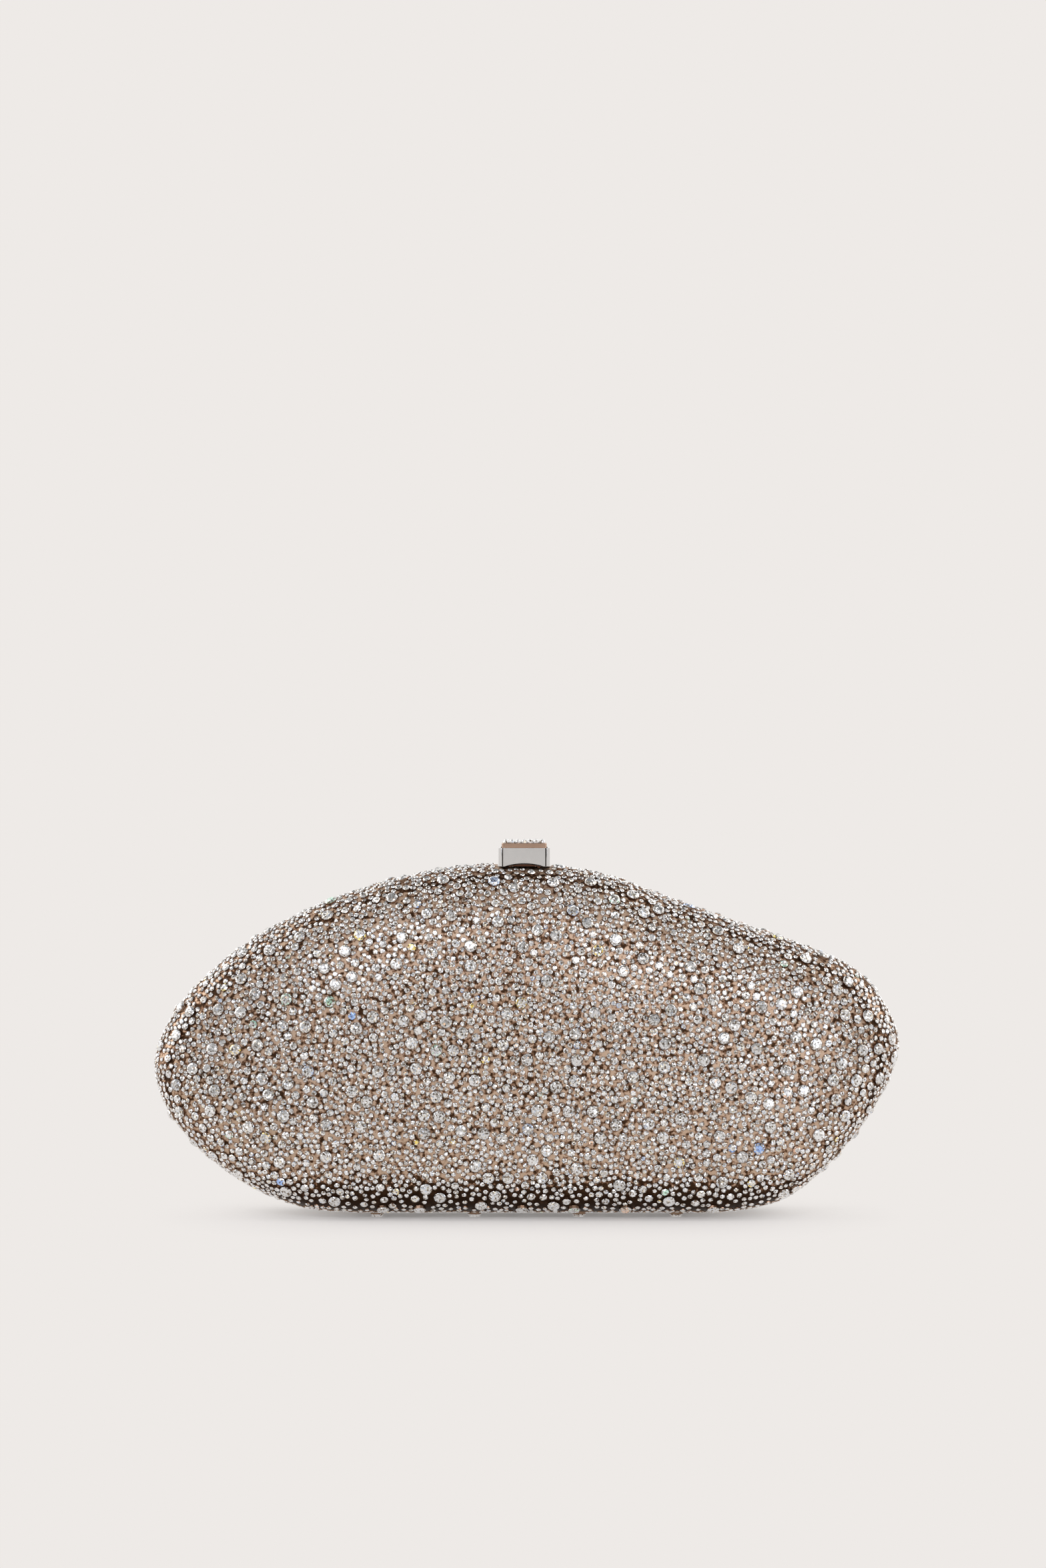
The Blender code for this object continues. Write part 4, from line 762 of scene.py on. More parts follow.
def swept_band(name, section):
    """A closed section of (inset, y) points swept round the outline."""
    flat = bpy.data.curves.new("section", "CURVE")
    flat.dimensions = "2D"
    path = bpy.data.curves.new(name, "CURVE")
    path.dimensions = "2D"
    path.fill_mode = "NONE"
    loops = (flat, [(inset, -y) for inset, y in section]), (path, [tuple(p) for p in outline_loop(0.0)])
    for curve, places in loops:
        spline = curve.splines.new("POLY")
        spline.points.add(len(places) - 1)
        for point, place in zip(spline.points, places):
            point.co = (*place, 0.0, 1.0)
        spline.use_cyclic_u = True
    profile = bpy.data.objects.new("section", flat)
    bpy.context.scene.collection.objects.link(profile)
    path.bevel_mode = "OBJECT"
    path.bevel_object = profile
    made = bpy.data.objects.new(name, path)
    bpy.context.scene.collection.objects.link(made)
    made.rotation_euler.x = math.pi / 2.0
    make_active(made)
    bpy.ops.object.convert(target="MESH")
    bpy.ops.object.transform_apply(location=True, rotation=True, scale=True)
    bpy.data.objects.remove(profile, do_unlink=True)
    bpy.ops.object.mode_set(mode="EDIT")
    bpy.ops.mesh.select_all(action="SELECT")
    bpy.ops.mesh.remove_doubles(threshold=0.001 * MM)
    bpy.ops.mesh.normals_make_consistent(inside=False)
    bpy.ops.object.mode_set(mode="OBJECT")
    return made


def make_band(side):
    """The rim band of one half, with a lip on the front one."""
    half = "back" if side > 0 else "front"
    near, flange, wall = (side * y for y in (HALF_GAP, FLANGE_Y, WALL_Y))
    section = [(FLANGE_INSET, near)]
    if side > 0:
        section += [(WALL_INNER, near)]
    else:
        lip_outer = WALL_INNER + CLEARANCE
        section += [
            (lip_outer, near), (lip_outer, LIP_Y), (LIP_INNER, LIP_Y), (LIP_INNER, flange),
            (WALL_INNER, flange),
        ]
    section += [
        (WALL_INNER, wall), (WALL_OUTER, wall), (WALL_OUTER, flange), (FLANGE_INSET, flange),
    ]
    made = swept_band(f"{half}_rim_band", section)
    cutters = [seat_cutter(), channel_cutter()]
    if side > 0:
        cutters += window_cutters()
    else:
        lip_back = LIP_Y + 2.0 * MM
        cutters.append(block(
            "lip_foot", (-2.0 * HALF_LENGTH, -HALF_GAP, BELOW), (2.0 * HALF_LENGTH, lip_back, LIP_FOOT_Z),
        ))
        cutters.append(block(
            "lip_crown", (CLASP_X - LIP_CROWN_HALF_WIDTH, -HALF_GAP, CROWN_Z),
            (CLASP_X + LIP_CROWN_HALF_WIDTH, lip_back, ABOVE),
        ))
    carve(made, *cutters)
    bpy.ops.object.shade_smooth_by_angle(angle=SMOOTH_ANGLE)
    hand_over(made, f"{half}_half", "bright_bronze", BRIGHT_BRONZE, f"{half}_frame")


for side in (1, -1):
    make_band(side)

# %% [markdown]
# Inside each half sits a moulded tray covered in dark satin. It is the same pebble made smaller,
# and its front edge tucks behind the rim band. The cloth has a fine weave, which is two crossed
# waves, and a sheen that lightens it at grazing angles.
# %% Linings
WEAVE_PER_METRE = 900.0


def satin():
    """Dark satin with a fine weave."""
    made, tree, shader = new_material("brown_satin")
    tone = object_noise(tree, 60.0)
    colours = [(0.3, (0.050, 0.028, 0.018)), (0.7, (0.085, 0.050, 0.034))]
    tree.links.new(colour_ramp(tree, tone, colours), shader.inputs["Base Color"])
    shader.inputs["Roughness"].default_value = 0.42
    shader.inputs["Sheen Weight"].default_value = 0.6
    shader.inputs["Sheen Roughness"].default_value = 0.35
    place = tree.nodes.new("ShaderNodeTexCoord")
    waves = []
    for direction in ("X", "Z"):
        wave = node(tree, "ShaderNodeTexWave", bands_direction=direction, scale=WEAVE_PER_METRE)
        tree.links.new(place.outputs["Object"], wave.inputs["Vector"])
        waves.append(wave.outputs["Fac"])
    add_bump(tree, shader, math_node(tree, "MULTIPLY", *waves), 0.03 * MM, 0.6)
    return made


SATIN = satin()
LINING_INSET = 3.7 * MM
LINING_WALL = 0.8 * MM
LINING_RINGS = 24
for side, half, mouth in ((1, "back", 1.8 * MM), (-1, "front", 1.25 * MM)):
    made, spare = half_pebble(
        f"{half}_satin_tray", side, LINING_INSET, SHELL_DEPTH - LINING_INSET, mouth, LINING_WALL,
        LINING_RINGS,
    )
    bpy.ops.object.shade_smooth_by_angle(angle=SMOOTH_ANGLE)
    hand_over(made, f"{half}_half", "satin_lining", SATIN, f"{half}_lining")

# %% [markdown]
# The crystals are round stones in small metal cups. One stone of each kind is modelled: a short
# cylinder makes the cup, its top is drawn in and turned half a step to give the crown of
# triangular facets, and what is left on top is the table. The large stone has two rows of facets,
# and the small stone for the button has three, because that one stands taller. Each stone is
# modelled with a radius of one, so that a copy can be scaled to any size.
# %% Master stones
def master_stone(name, sides, cup_reach, cup_low, girdle, rows):
    """A stone on its cup. Rows are (radius, height) of the rings above the girdle."""
    fresh()
    bpy.ops.mesh.primitive_cylinder_add(
        vertices=sides, radius=1.0, depth=girdle - cup_low, location=(0.0, 0.0, (girdle + cup_low) / 2.0),
    )
    made = bpy.context.object
    made.name = name
    bpy.ops.object.transform_apply(location=True, rotation=True, scale=True)
    for finish in (SEAT_METAL_PAINTED_SHADE, CRYSTAL):
        made.data.materials.append(finish)
    bpy.ops.object.mode_set(mode="EDIT")
    bpy.ops.mesh.select_all(action="DESELECT")
    bm = bmesh.from_edit_mesh(made.data)
    bottom = [face for face in bm.faces if face.normal.z < -0.9][0]
    for vert in bottom.verts:
        vert.co.x *= cup_reach
        vert.co.y *= cup_reach
    top = [face for face in bm.faces if face.normal.z > 0.9][0]
    top.select_set(True)
    bmesh.update_edit_mesh(made.data)
    bpy.context.scene.tool_settings.mesh_select_mode = (False, False, True)
    radius, height = 1.0, girdle
    for next_radius, next_height in rows:
        bpy.ops.mesh.extrude_region_move(
            TRANSFORM_OT_translate={"value": (0.0, 0.0, next_height - height)},
        )
        share = next_radius / radius
        bpy.ops.transform.resize(value=(share, share, 1.0), center_override=(0.0, 0.0, 0.0))
        bpy.ops.transform.rotate(
            value=math.pi / sides, orient_axis="Z", center_override=(0.0, 0.0, 0.0),
        )
        radius, height = next_radius, next_height
    bm = bmesh.from_edit_mesh(made.data)
    for face in bm.faces:
        face.material_index = 1 if face.calc_center_median().z > 1.01 * girdle else 0
        face.select_set(face.material_index == 1 and len(face.verts) == 4)
    bmesh.update_edit_mesh(made.data)
    bpy.ops.mesh.quads_convert_to_tris(quad_method="FIXED", ngon_method="BEAUTY")
    bpy.ops.object.mode_set(mode="OBJECT")
    triangles = sum(len(polygon.vertices) - 2 for polygon in made.data.polygons)
    print(f"{name}: {triangles} triangles")
    return made


TABLE_HEIGHT = 0.61
SMALL_MASTER = master_stone("small_stone", 8, 1.09, -0.25, 0.31, [(0.60, TABLE_HEIGHT)])
LARGE_MASTER = master_stone("large_stone", 12, 1.05, -0.20, 0.27, [(0.86, 0.46), (0.60, TABLE_HEIGHT)])
PAVE_MASTER = master_stone(
    "pave_stone", 10, 1.0, -0.30, 0.10, [(0.97, 0.50), (0.82, 0.85), (0.50, 1.08)],
)

# %% [markdown]
# The stones are laid as by hand. The four feet of each half come first, then the large stones,
# starting from those that the solid shell carries, then the middle size thrown in between. The
# smallest size grows outwards from all of them: each stone tries to put others beside itself,
# nearly touching, until nothing more fits. Towards the dark base the gaps are left wider. Blender
# may list a mesh's faces in another order each time, so they are sorted before any random draw.
# %% Laying the stones
random.seed(11)
HASH_CELL = 4.6 * MM
EDGE_MARGIN = 0.12 * MM
SMALL_RADIUS = (0.74 * MM, 0.93 * MM)
MEDIUM_RADIUS = (1.20 * MM, 1.48 * MM)
LARGE_RADIUS = 2.0 * MM
LARGE_SPREAD = 0.1 * MM
LARGE_COUNT = 205
LARGE_TRIES = 8000
LARGE_GAP = 1.2 * MM
MEDIUM_COUNT = 430
MEDIUM_TRIES = 6000
MEDIUM_GAP = 0.1 * MM
SMALL_TURNS = 11
LAST_COUNT = 500
LAST_TRIES = 12000
LOWEST_NORMAL_Z = -0.75
ANY_NORMAL_Z = -1.1
JITTER = 1.0 * MM
LEAN = 0.08
TOUCHING = 0.01 * MM
FOOT_RADIUS = 2.2 * MM
FOOT_XS = (-47.52 * MM, -16.632 * MM, 16.632 * MM, 47.52 * MM)
FOOT_Y = 10.0 * MM
# A stone of the CAD shell stands at least this far off the skin, and its table is no wider than
# this. The feet, which end below this height, are left out.
CAD_STONE_STAND = 0.6 * MM
CAD_STONE_WIDTH = 2.7 * MM
CAD_FEET_BELOW_Z = 0.5 * MM
# The row of large stones along the base.
BASE_ROW_Z = 3.4 * MM
BASE_ROW_START = -75.0 * MM
BASE_ROW_END = 72.0 * MM
BASE_ROW_STEP = (11.0 * MM, 17.0 * MM)
BASE_ROW_GAP = 1.5 * MM
RAY_FROM_Y = 80.0 * MM
# How wide the gaps are drawn, in mm: everywhere, then what is added at the base, along the shoulder
# and round the clasp. A stone that grows beside another may come closer to a third, by this share.
PLAIN_GAP = (0.02, 0.16)
BASE_GAP = (1.0, 2.5)
SHOULDER_GAP = (0.3, 0.9)
CLASP_GAP = (0.5, 1.3)
THIRD_STONE_SHARE = 0.35
TURN_JITTER = 0.3
SPARSE_BELOW_Z = 8.6 * MM
SPARSE_FADE = 3.0 * MM
CLASP_GAP_REACH = 8.0 * MM
CLASP_GAP_DROP = 4.5 * MM
# What stones keep off: half the width of the seat along x and y, and the hinge below this height.
SEAT_ROOM = (8.5 * MM, 8.35 * MM)
HINGE_TOP_Z = 6.0 * MM


def faces_in_order(mesh):
    """The mesh's faces as corner numbers, in an order that is the same in every run."""
    faces = []
    for polygon in mesh.polygons:
        corners = tuple(polygon.vertices)
        start = corners.index(min(corners))
        faces.append((corners[start:] + corners[:start], polygon.material_index))
    return sorted(faces)


class Layer:
    """The stones laid so far on one half, with a grid that finds the near ones quickly."""

    def __init__(self, side):
        self.side = side
        mesh = skins[side]
        corners = [vert.co.copy() for vert in mesh.vertices]
        faces = [face for face, finish in faces_in_order(mesh)]
        self.tree = BVHTree.FromPolygons(corners, faces)
        self.centres = [sum((corners[corner] for corner in face), Vector()) / len(face) for face in faces]
        self.areas = []
        for face in faces:
            first, second, third, last = (corners[face[index]] for index in (0, 1, 2, -1))
            self.areas.append((third - first).cross(last - second).length / 2.0)
        self.stones = []
        self.grid = {}

    def cells(self, point):
        """The cell of the grid that a point is in."""
        return tuple(int(value // HASH_CELL) for value in point)

    def room(self, point, radius, gap):
        """Whether a stone fits here, off the seam, the seat, the hinge and the other stones."""
        if abs(point.y) < EDGE_Y + radius + EDGE_MARGIN:
            return False
        away = (abs(point.x - CLASP_X) - radius, abs(point.y) - radius)
        if away[0] < SEAT_ROOM[0] and away[1] < SEAT_ROOM[1] and point.z > SEAT_Z - radius:
            return False
        if point.z < HINGE_TOP_Z and abs(point.y) < CHANNEL_HALF_WIDTH + radius + EDGE_MARGIN:
            if abs(point.x) < pin_high.x + radius + CLEARANCE:
                return False
        home = self.cells(point)
        for step in itertools.product((-1, 0, 1), repeat=3):
            cell = tuple(here + move for here, move in zip(home, step))
            for other, reach in self.grid.get(cell, ()):
                if (other - point).length_squared < (reach + radius + gap) ** 2:
                    return False
        return True

    def lay(self, kind, point, normal, radius, tilt=LEAN):
        """Set a stone, leaning a little as a hand sets it."""
        lean = Vector([random.uniform(-tilt, tilt) for _ in range(3)])
        stone = (kind, point, (normal + lean).normalized(), radius, random.uniform(0.0, TAU))
        self.stones.append(stone)
        self.grid.setdefault(self.cells(point), []).append((point, radius))
        return stone

    def nearest(self, point):
        """The nearest place on the skin, and the way out there."""
        place, normal, index, distance = self.tree.find_nearest(point)
        if normal.y * self.side < 0.0 and abs(normal.y) > 0.2:
            normal = -normal
        return place, normal

    def throw(self, kind, radii, count, tries, gap, lowest=LOWEST_NORMAL_Z):
        """Stones thrown at random on the skin, kept where there is room."""
        laid = 0
        picks = random.choices(range(len(self.centres)), weights=self.areas, k=tries)
        for index in picks:
            if laid == count:
                break
            jitter = Vector([random.uniform(-1.0, 1.0) * JITTER for _ in range(3)])
            place, normal = self.nearest(self.centres[index] + jitter)
            radius = random.uniform(*radii)
            if normal.z > lowest and self.room(place, radius, gap):
                self.lay(kind, place, normal, radius)
                laid += 1
        return laid

    def grow(self, radii, turns):
        """Small stones beside each stone in turn, as many as fit."""
        queue = list(self.stones)
        for stone in queue:
            kind, centre, axis, reach, spin = stone
            across = axis.orthogonal().normalized()
            beside = axis.cross(across)
            for turn in range(turns):
                angle = spin + TAU * (turn + random.uniform(-TURN_JITTER, TURN_JITTER)) / turns
                radius = random.uniform(*radii)
                gap = self.gap(centre)
                out = (across * math.cos(angle) + beside * math.sin(angle)) * (reach + radius + gap)
                place, normal = self.nearest(centre + out)
                if self.room(place, radius, gap * THIRD_STONE_SHARE + TOUCHING):
                    queue.append(self.lay("small", place, normal, radius))

    def gap(self, point):
        """How far apart stones are laid here."""
        gap = random.uniform(*PLAIN_GAP)
        if point.z < SPARSE_BELOW_Z:
            gap += random.uniform(*BASE_GAP) * min((SPARSE_BELOW_Z - point.z) / SPARSE_FADE, 1.0)
        elif abs(abs(point.y) - SHOULDER_Y) < SHOULDER_HALF_WIDTH:
            gap += random.uniform(*SHOULDER_GAP)
        if abs(point.x - CLASP_X) < CLASP_GAP_REACH and point.z > SEAT_Z - CLASP_GAP_DROP:
            gap += random.uniform(*CLASP_GAP)
        return gap * MM


def solid_stone_places(layer):
    """Where the CAD shell's own stones stand, from its vertices that stand clear of the skin."""
    name = "back_shell" if layer.side > 0 else "front_shell"
    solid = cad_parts[name]
    groups = []
    for vert in solid.data.vertices:
        point = solid.matrix_world @ vert.co
        place, normal = layer.nearest(point)
        if (point - place).dot(normal) < CAD_STONE_STAND or point.z < CAD_FEET_BELOW_Z:
            continue
        for group in groups:
            if (group[0] - point).length < CAD_STONE_WIDTH:
                group.append(point)
                break
        else:
            groups.append([point])
    return [sum(group, Vector()) / len(group) for group in groups]


def lay_half(side):
    """All the stones of one half, as (kind, place, way out, radius, turn)."""
    layer = Layer(side)
    low = Vector((0.0, 0.0, -1.0))
    for x in FOOT_XS:
        layer.lay("foot", Vector((x, side * FOOT_Y, SHELL_BASE_Z + SKIN_DROP)), low, FOOT_RADIUS, 0.0)
    for point in solid_stone_places(layer):
        place, normal = layer.nearest(point)
        if layer.room(place, LARGE_RADIUS, TOUCHING):
            layer.lay("large", place, normal, LARGE_RADIUS)
    known = len(layer.stones)
    x = BASE_ROW_START
    while x < BASE_ROW_END:
        place, normal, index, distance = layer.tree.ray_cast(
            Vector((x, side * RAY_FROM_Y, BASE_ROW_Z)), Vector((0.0, -side, 0.0)),
        )
        if place and layer.room(place, LARGE_RADIUS, BASE_ROW_GAP):
            layer.lay("large", place, normal * (1.0 if normal.y * side > 0 else -1.0), LARGE_RADIUS)
        x += random.uniform(*BASE_ROW_STEP)
    radii = (LARGE_RADIUS - LARGE_SPREAD, LARGE_RADIUS + LARGE_SPREAD)
    large = layer.throw("large", radii, LARGE_COUNT - len(layer.stones), LARGE_TRIES, LARGE_GAP)
    medium = layer.throw("medium", MEDIUM_RADIUS, MEDIUM_COUNT, MEDIUM_TRIES, MEDIUM_GAP)
    layer.grow(SMALL_RADIUS, SMALL_TURNS)
    layer.throw("small", SMALL_RADIUS, LAST_COUNT, LAST_TRIES, TOUCHING, ANY_NORMAL_Z)
    print(f"side {side}: {known} from the solid, {large} large and {medium} medium ones thrown")
    print(f"side {side}: {len(layer.stones)} stones in all")
    return layer.stones


# How bright each size is, how many of its stones flash, and on how many of their facets.
LEVELS = {"small": (0.88, 1.0), "medium": (0.82, 1.0), "large": (0.74, 0.94)}
FIRE_SHARES = {"small": 0.012, "medium": 0.06, "large": 0.10}
FIRE_FACE_SHARE = 0.35
FIRE_COLOURS = [
    (1.15, 0.84, 0.22), (1.15, 0.84, 0.22), (0.42, 0.62, 1.15), (0.42, 0.62, 1.15), (0.66, 0.80, 1.15),
    (0.74, 1.10, 0.90), (1.15, 0.74, 0.54),
]


def copies(name, master, stones, height=None):
    """One mesh with a copy of the master at each stone, as high as it is wide unless told."""
    shape = np.array([vert.co[:] for vert in master.data.vertices])
    faces, finishes = zip(*faces_in_order(master.data))
    points, polygons = [], []
    for kind, centre, axis, radius, spin in stones:
        turn = axis.to_track_quat("Z", "Y").to_matrix() @ Matrix.Rotation(spin, 3, "Z")
        scale = np.array((radius, radius, height or radius))
        start = len(points) * len(shape)
        points.append((shape * scale) @ np.array(turn).T + np.array(centre[:]))
        polygons += [tuple(start + corner for corner in face) for face in faces]
    mesh = bpy.data.meshes.new(name)
    mesh.from_pydata(np.concatenate(points).tolist(), [], polygons)
    for finish in master.data.materials:
        mesh.materials.append(finish)
    mesh.polygons.foreach_set("material_index", finishes * len(stones))
    colours = np.ones((len(stones), len(faces), 4))
    for (kind, *rest), colour in zip(stones, colours):
        colour[:, :3] = random.uniform(*LEVELS.get(kind, (1.0, 1.0)))
        if random.random() < FIRE_SHARES.get(kind, 0.0):
            lit = np.array([random.random() < FIRE_FACE_SHARE for _ in faces])
            colour[lit, :3] = random.choice(FIRE_COLOURS)
    layer = mesh.attributes.new(FIRE, "FLOAT_COLOR", "FACE")
    layer.data.foreach_set("color", colours.ravel())
    mesh.update()
    made = bpy.data.objects.new(name, mesh)
    bpy.context.scene.collection.objects.link(made)
    return made


FOOT_HEIGHT = (SHELL_BASE_Z + SKIN_DROP) / TABLE_HEIGHT
for side, half in ((1, "back"), (-1, "front")):
    kinds = {"small_low": [], "small_high": [], "medium": [], "large": [], "foot": []}
    for stone in lay_half(side):
        level = ("_low" if stone[1].z < CENTRE_Z else "_high") if stone[0] == "small" else ""
        kinds[stone[0] + level].append(stone)
    groups = [
        ("small_stones_low", SMALL_MASTER, kinds["small_low"], None),
        ("small_stones_high", SMALL_MASTER, kinds["small_high"], None),
        ("medium_stones", SMALL_MASTER, kinds["medium"], None),
        ("large_stones", LARGE_MASTER, kinds["large"], None),
        ("foot_stones", LARGE_MASTER, kinds["foot"], FOOT_HEIGHT),
    ]
    for name, master, chosen, height in groups:
        piece = copies(f"{half}_{name}", master, chosen, height)
        hand_over(piece, f"{half}_half", "crystal_set_shell", None)

# %% [markdown]
# The clasp is a square silver tube with cut corners. A shallow arch in its front wall clears the strike,
# the low bronze dome that belongs to the front half, whose dark bronze is painted shade from the tube above
# it. Both are cut from one round each, on the same centre, so the gap between them is even. The floor
# inside carries the spring. Two fine upright grooves, dark inside with painted shade, mark the joints of
# the front plate.
# %% Clasp block and strike
ARCH_RADIUS = 20.03 * MM
ARCH_RISE = 1.0 * MM
STRIKE_GAP = 0.35 * MM
BLOCK_CHAMFER = 0.9 * MM
BLOCK_WALL = 0.7 * MM
FLOOR_LOW_Z = block_low.z + 1.3 * MM
FLOOR_TOP_Z = FLOOR_LOW_Z + 0.6 * MM
UNDER_BACK_Y = 3.0 * MM
SLOT_FRONT_Y = 4.1 * MM
ROUND_STEPS = 320
GROOVE = 0.38 * MM
GROOVE_FROM_MIDDLE = (block_high.x - block_low.x) / 2.0 - BLOCK_CHAMFER - GROOVE
PEG_RADIUS = 2.2 * MM
SPRING_Y = -1.2 * MM
FINE_BEVEL = 0.06 * MM


def chamfered_block(name, low, high, chamfer):
    """A box with its four upright edges cut off."""
    made = block(name, low, high)
    bpy.ops.object.mode_set(mode="EDIT")
    bpy.ops.mesh.select_all(action="DESELECT")
    bm = bmesh.from_edit_mesh(made.data)
    for edge in bm.edges:
        edge.select_set(abs(edge.verts[0].co.z - edge.verts[1].co.z) > 0.5 * (high[2] - low[2]))
    bmesh.update_edit_mesh(made.data)
    bpy.context.scene.tool_settings.mesh_select_mode = (False, True, False)
    bpy.ops.mesh.bevel(offset=chamfer, segments=1, affect="EDGES")
    bpy.ops.object.mode_set(mode="OBJECT")
    return made


def unite(piece, *others):
    """Join others to the piece as one solid."""
    for other in others:
        modifier = piece.modifiers.new("join", "BOOLEAN")
        modifier.operation = "UNION"
        modifier.solver = "EXACT"
        modifier.object = other
    apply_all(piece)
    for other in others:
        bpy.data.objects.remove(other, do_unlink=True)


def make_clasp_block():
    """The silver tube with its floor, its arch and its grooves."""
    low, high = Vector(block_low), Vector(block_high)
    wall = Vector((BLOCK_WALL, BLOCK_WALL, 0.0))
    past = Vector((0.0, 0.0, MM))
    made = chamfered_block("silver_block", low, high, BLOCK_CHAMFER)
    well_low = (low + wall).to_2d().to_3d() + Vector((0.0, 0.0, FLOOR_TOP_Z))
    well = chamfered_block("well", well_low, high - wall + past, BLOCK_CHAMFER - BLOCK_WALL / 2.0)
    under = block("under", low + wall - past, (high.x - BLOCK_WALL, UNDER_BACK_Y, FLOOR_LOW_Z))
    arch_z = low.z + ARCH_RISE - ARCH_RADIUS
    arch = rod(
        "arch", ARCH_RADIUS, (CLASP_X, low.y - MM, arch_z),
        (CLASP_X, low.y + BLOCK_WALL + CLEARANCE, arch_z), ROUND_STEPS,
    )
    slot = catch_slot(SLOT_FRONT_Y, low.z - MM, FLOOR_TOP_Z + MM)
    cutters = hole_cutters("clasp_screw", (1, 2), SCREW_HOLE, low.z - MM, FLOOR_TOP_Z + MM)
    for middle in (CLASP_X - GROOVE_FROM_MIDDLE, CLASP_X + GROOVE_FROM_MIDDLE):
        cutters.append(block(
            "groove", (middle - GROOVE / 2.0, low.y - GROOVE, low.z - MM),
            (middle + GROOVE / 2.0, low.y + GROOVE, high.z + MM),
        ))
    carve(made, well, under, arch, slot, *cutters)
    spring_low, spring_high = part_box("clasp_spring")
    x = (spring_low.x + spring_high.x) / 2.0
    peg = rod(
        "peg", PEG_RADIUS, (x, SPRING_Y, FLOOR_LOW_Z + 0.3 * MM), (x, SPRING_Y, FLOOR_TOP_Z + 0.6 * MM), 32,
    )
    unite(made, peg)
    soften(made, FINE_BEVEL)
    hand_over(made, "back_half", "silver_clasp", SILVER, "clasp_block")
    made.data.materials.append(GROOVE_PAINTED_SHADE)
    # The faces inside the two grooves take painted shade.
    for polygon in made.data.polygons:
        aside = abs(abs(polygon.center.x - CLASP_X) - GROOVE_FROM_MIDDLE)
        inside = low.y + 0.1 * GROOVE < polygon.center.y < low.y + 1.1 * GROOVE
        polygon.material_index = 1 if inside and aside < 0.55 * GROOVE else 0


NOSE_HALF_WIDTH = 3.4 * MM
NOSE_FRONT_Y = -5.2 * MM
NOSE_HEIGHT = 0.55 * MM
STRIKE_LIP = 0.7 * MM
STRIKE_LIP_DROP = 1.5 * MM
STRIKE_PIN_RADIUS = 0.7 * MM


def make_strike():
    """The bronze dome in the arch, with the lip that the catch holds and its two pins."""
    low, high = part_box("strike")
    front, base = block_low.y, block_low.z
    back = low.y + (block_high.y - block_low.y) / 2.0 - 2 * HALF_GAP
    arch_z = base + ARCH_RISE - ARCH_RADIUS
    made = rod(
        "bronze_strike", ARCH_RADIUS - STRIKE_GAP, (CLASP_X, front, arch_z), (CLASP_X, back, arch_z),
        ROUND_STEPS,
    )
    far = 2.0 * ARCH_RADIUS
    carve(made, block("below", (-far, -far, -far), (far, far, base)))
    left, right = CLASP_X - NOSE_HALF_WIDTH, CLASP_X + NOSE_HALF_WIDTH
    nose = block("nose", (left, NOSE_FRONT_Y, base), (right, high.y, base + NOSE_HEIGHT))
    lip_low = (left, high.y - STRIKE_LIP, base - CLEARANCE - STRIKE_LIP_DROP)
    lip = block("lip", lip_low, (right, high.y, base + NOSE_HEIGHT))
    pins = []
    for number in (1, 2):
        nut_low, nut_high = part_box(f"strike_nut_{number}")
        x, y = (nut_low.x + nut_high.x) / 2.0, (nut_low.y + nut_high.y) / 2.0
        pins.append(rod("pin", STRIKE_PIN_RADIUS, (x, y, low.z), (x, y, base + 0.1 * MM)))
    unite(made, nose, lip, *pins)
    soften(made, FINE_BEVEL)
    # The strike takes the dark bronze: painted shade under the clasp.
    hand_over(made, "front_half", "bright_bronze", DARK_BRONZE_PAINTED_SHADE, "strike")


make_clasp_block()
make_strike()

# %% [markdown]
# The push button is a bronze cap with a skirt that slides in the silver tube. A socket under it
# holds the catch by a cross pin. Its top is paved with seven rows of small stones.
# %% Push button
BUTTON_TOP_Z = block_high.z + 1.5 * MM
BUTTON_CHAMFER = 0.6 * MM
BUTTON_BEVEL = 0.12 * MM
BUTTON_PLATE = 0.8 * MM
BUTTON_SKIRT = 0.8 * MM
SOCKET_WALL = 0.9 * MM
SOCKET_FRONT_Y = 3.2 * MM
SOCKET_BACK_GAP = 0.4 * MM
BORE_RADIUS = 0.65 * MM
BORE_FRONT_Y = 2.5 * MM
PAVE_ROWS = 7
PAVE_PITCH = 1.94 * MM
PAVE_RADIUS = 0.96 * MM


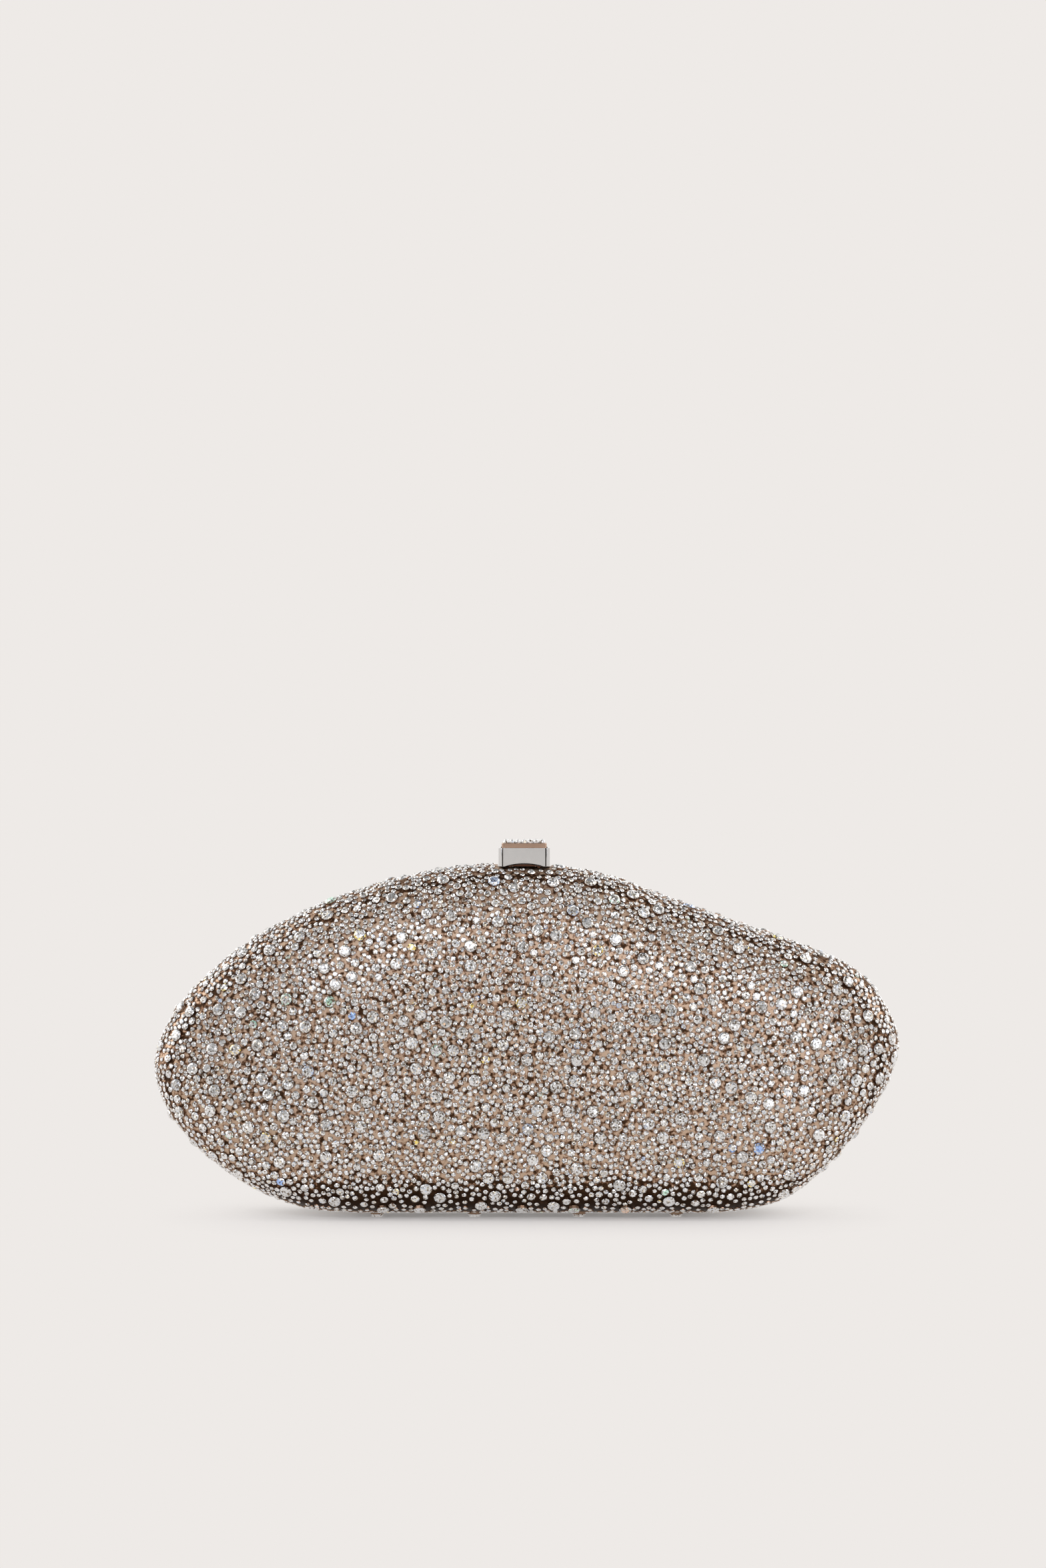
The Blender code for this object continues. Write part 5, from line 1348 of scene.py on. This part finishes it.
def make_button():
    """The bronze cap with its socket, and the stones on top."""
    low, high = (Vector(corner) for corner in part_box("button_cap"))
    high.z = BUTTON_TOP_Z
    made = chamfered_block("bronze_button", low, high, BUTTON_CHAMFER)
    skirt_low = Vector((BUTTON_SKIRT, BUTTON_SKIRT, -MM))
    skirt_high = Vector((BUTTON_SKIRT, BUTTON_SKIRT, BUTTON_PLATE))
    carve(made, block("hollow", low + skirt_low, high - skirt_high))
    socket = block(
        "socket", (catch_low.x - SOCKET_WALL, SOCKET_FRONT_Y, low.z + CLEARANCE),
        (catch_high.x + SOCKET_WALL, high.y - SOCKET_BACK_GAP, BUTTON_TOP_Z - BUTTON_PLATE / 2.0),
    )
    unite(made, socket)
    slot = catch_slot(SLOT_FRONT_Y, low.z - MM, BUTTON_TOP_Z - BUTTON_PLATE)
    pin_a, pin_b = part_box("catch_pin")
    pin_z = (pin_a.z + pin_b.z) / 2.0
    bore = rod(
        "bore", BORE_RADIUS, (CLASP_X, BORE_FRONT_Y, pin_z), (CLASP_X, pin_b.y + CLEARANCE, pin_z),
    )
    carve(made, slot, bore)
    soften(made, BUTTON_BEVEL)
    hand_over(made, "push_button", "bright_bronze", BRIGHT_BRONZE, "button_cap")
    first = -PAVE_PITCH * (PAVE_ROWS - 1) / 2.0
    up = Vector((0.0, 0.0, 1.0))
    places = []
    for column in range(PAVE_ROWS):
        for row in range(PAVE_ROWS):
            spot = Vector((CLASP_X + first + column * PAVE_PITCH, first + row * PAVE_PITCH, BUTTON_TOP_Z))
            places.append(("pave", spot, up, PAVE_RADIUS, random.uniform(0.0, TAU)))
    pave = copies("button_stones", PAVE_MASTER, places)
    pave.data.materials[1] = PAVE_CRYSTAL
    hand_over(pave, "push_button", "bright_bronze", None)


make_button()

# %% [markdown]
# Under the button stands a coil spring. The real one is wound from wire round a rod. Here a helix is drawn
# as a curve with a round section.
# %% Button spring
SPRING_WIRE_RADIUS = 0.3 * MM
SPRING_TURNS = 3.5
SPRING_STEPS = 20


def make_spring():
    """A coil between the floor of the clasp and the button."""
    low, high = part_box("clasp_spring")
    radius = (high.x - low.x) / 2.0 - SPRING_WIRE_RADIUS
    centre = (low + high) / 2.0
    foot = low.z + SPRING_WIRE_RADIUS
    rise = high.z - low.z - 2.0 * SPRING_WIRE_RADIUS
    path = bpy.data.curves.new("coil_spring", "CURVE")
    path.dimensions = "3D"
    path.bevel_depth = SPRING_WIRE_RADIUS
    path.bevel_resolution = 2
    path.use_fill_caps = True
    spline = path.splines.new("POLY")
    count = round(SPRING_TURNS * SPRING_STEPS)
    spline.points.add(count)
    for index, point in enumerate(spline.points):
        turn = TAU * index / SPRING_STEPS
        x, y = centre.x + radius * math.cos(turn), SPRING_Y + radius * math.sin(turn)
        point.co = (x, y, foot + rise * index / count, 1.0)
    made = bpy.data.objects.new("coil_spring", path)
    bpy.context.scene.collection.objects.link(made)
    make_active(made)
    bpy.ops.object.convert(target="MESH")
    bpy.ops.object.shade_smooth_by_angle(angle=SMOOTH_ANGLE)
    hand_over(made, "back_half", "steel", STEEL, "clasp_spring")
    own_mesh(made)


make_spring()

for master in (SMALL_MASTER, LARGE_MASTER, PAVE_MASTER):
    bpy.data.objects.remove(master, do_unlink=True)

# %% [markdown]
# The hinge, the catch, the bracket and the fasteners keep the shapes of the CAD solids and only
# take a finish.
# %% Finish of the solids that stay
STEEL_PARTS = (
    "back_hinge", "front_hinge", "hinge_pin", "clasp_bracket", "clasp_screw", "strike_nut", "catch",
)
kept = [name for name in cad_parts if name.startswith(STEEL_PARTS)]
for name in kept:
    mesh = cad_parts[name].data
    mesh.materials.clear()
    mesh.materials.append(STEEL)
print(len(kept), "solids keep their shape")

# %% [markdown]
# Last, the size of the dressed bag is compared with the frame.
# %% Finish
bpy.context.view_layer.update()
dressed = [list(corner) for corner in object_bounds()]
for axis, letter in enumerate("xyz"):
    beyond = [round((dressed[end][axis] - cad_box[end][axis]) / MM, 2) for end in (0, 1)]
    print(letter, beyond, "mm beyond the frame")
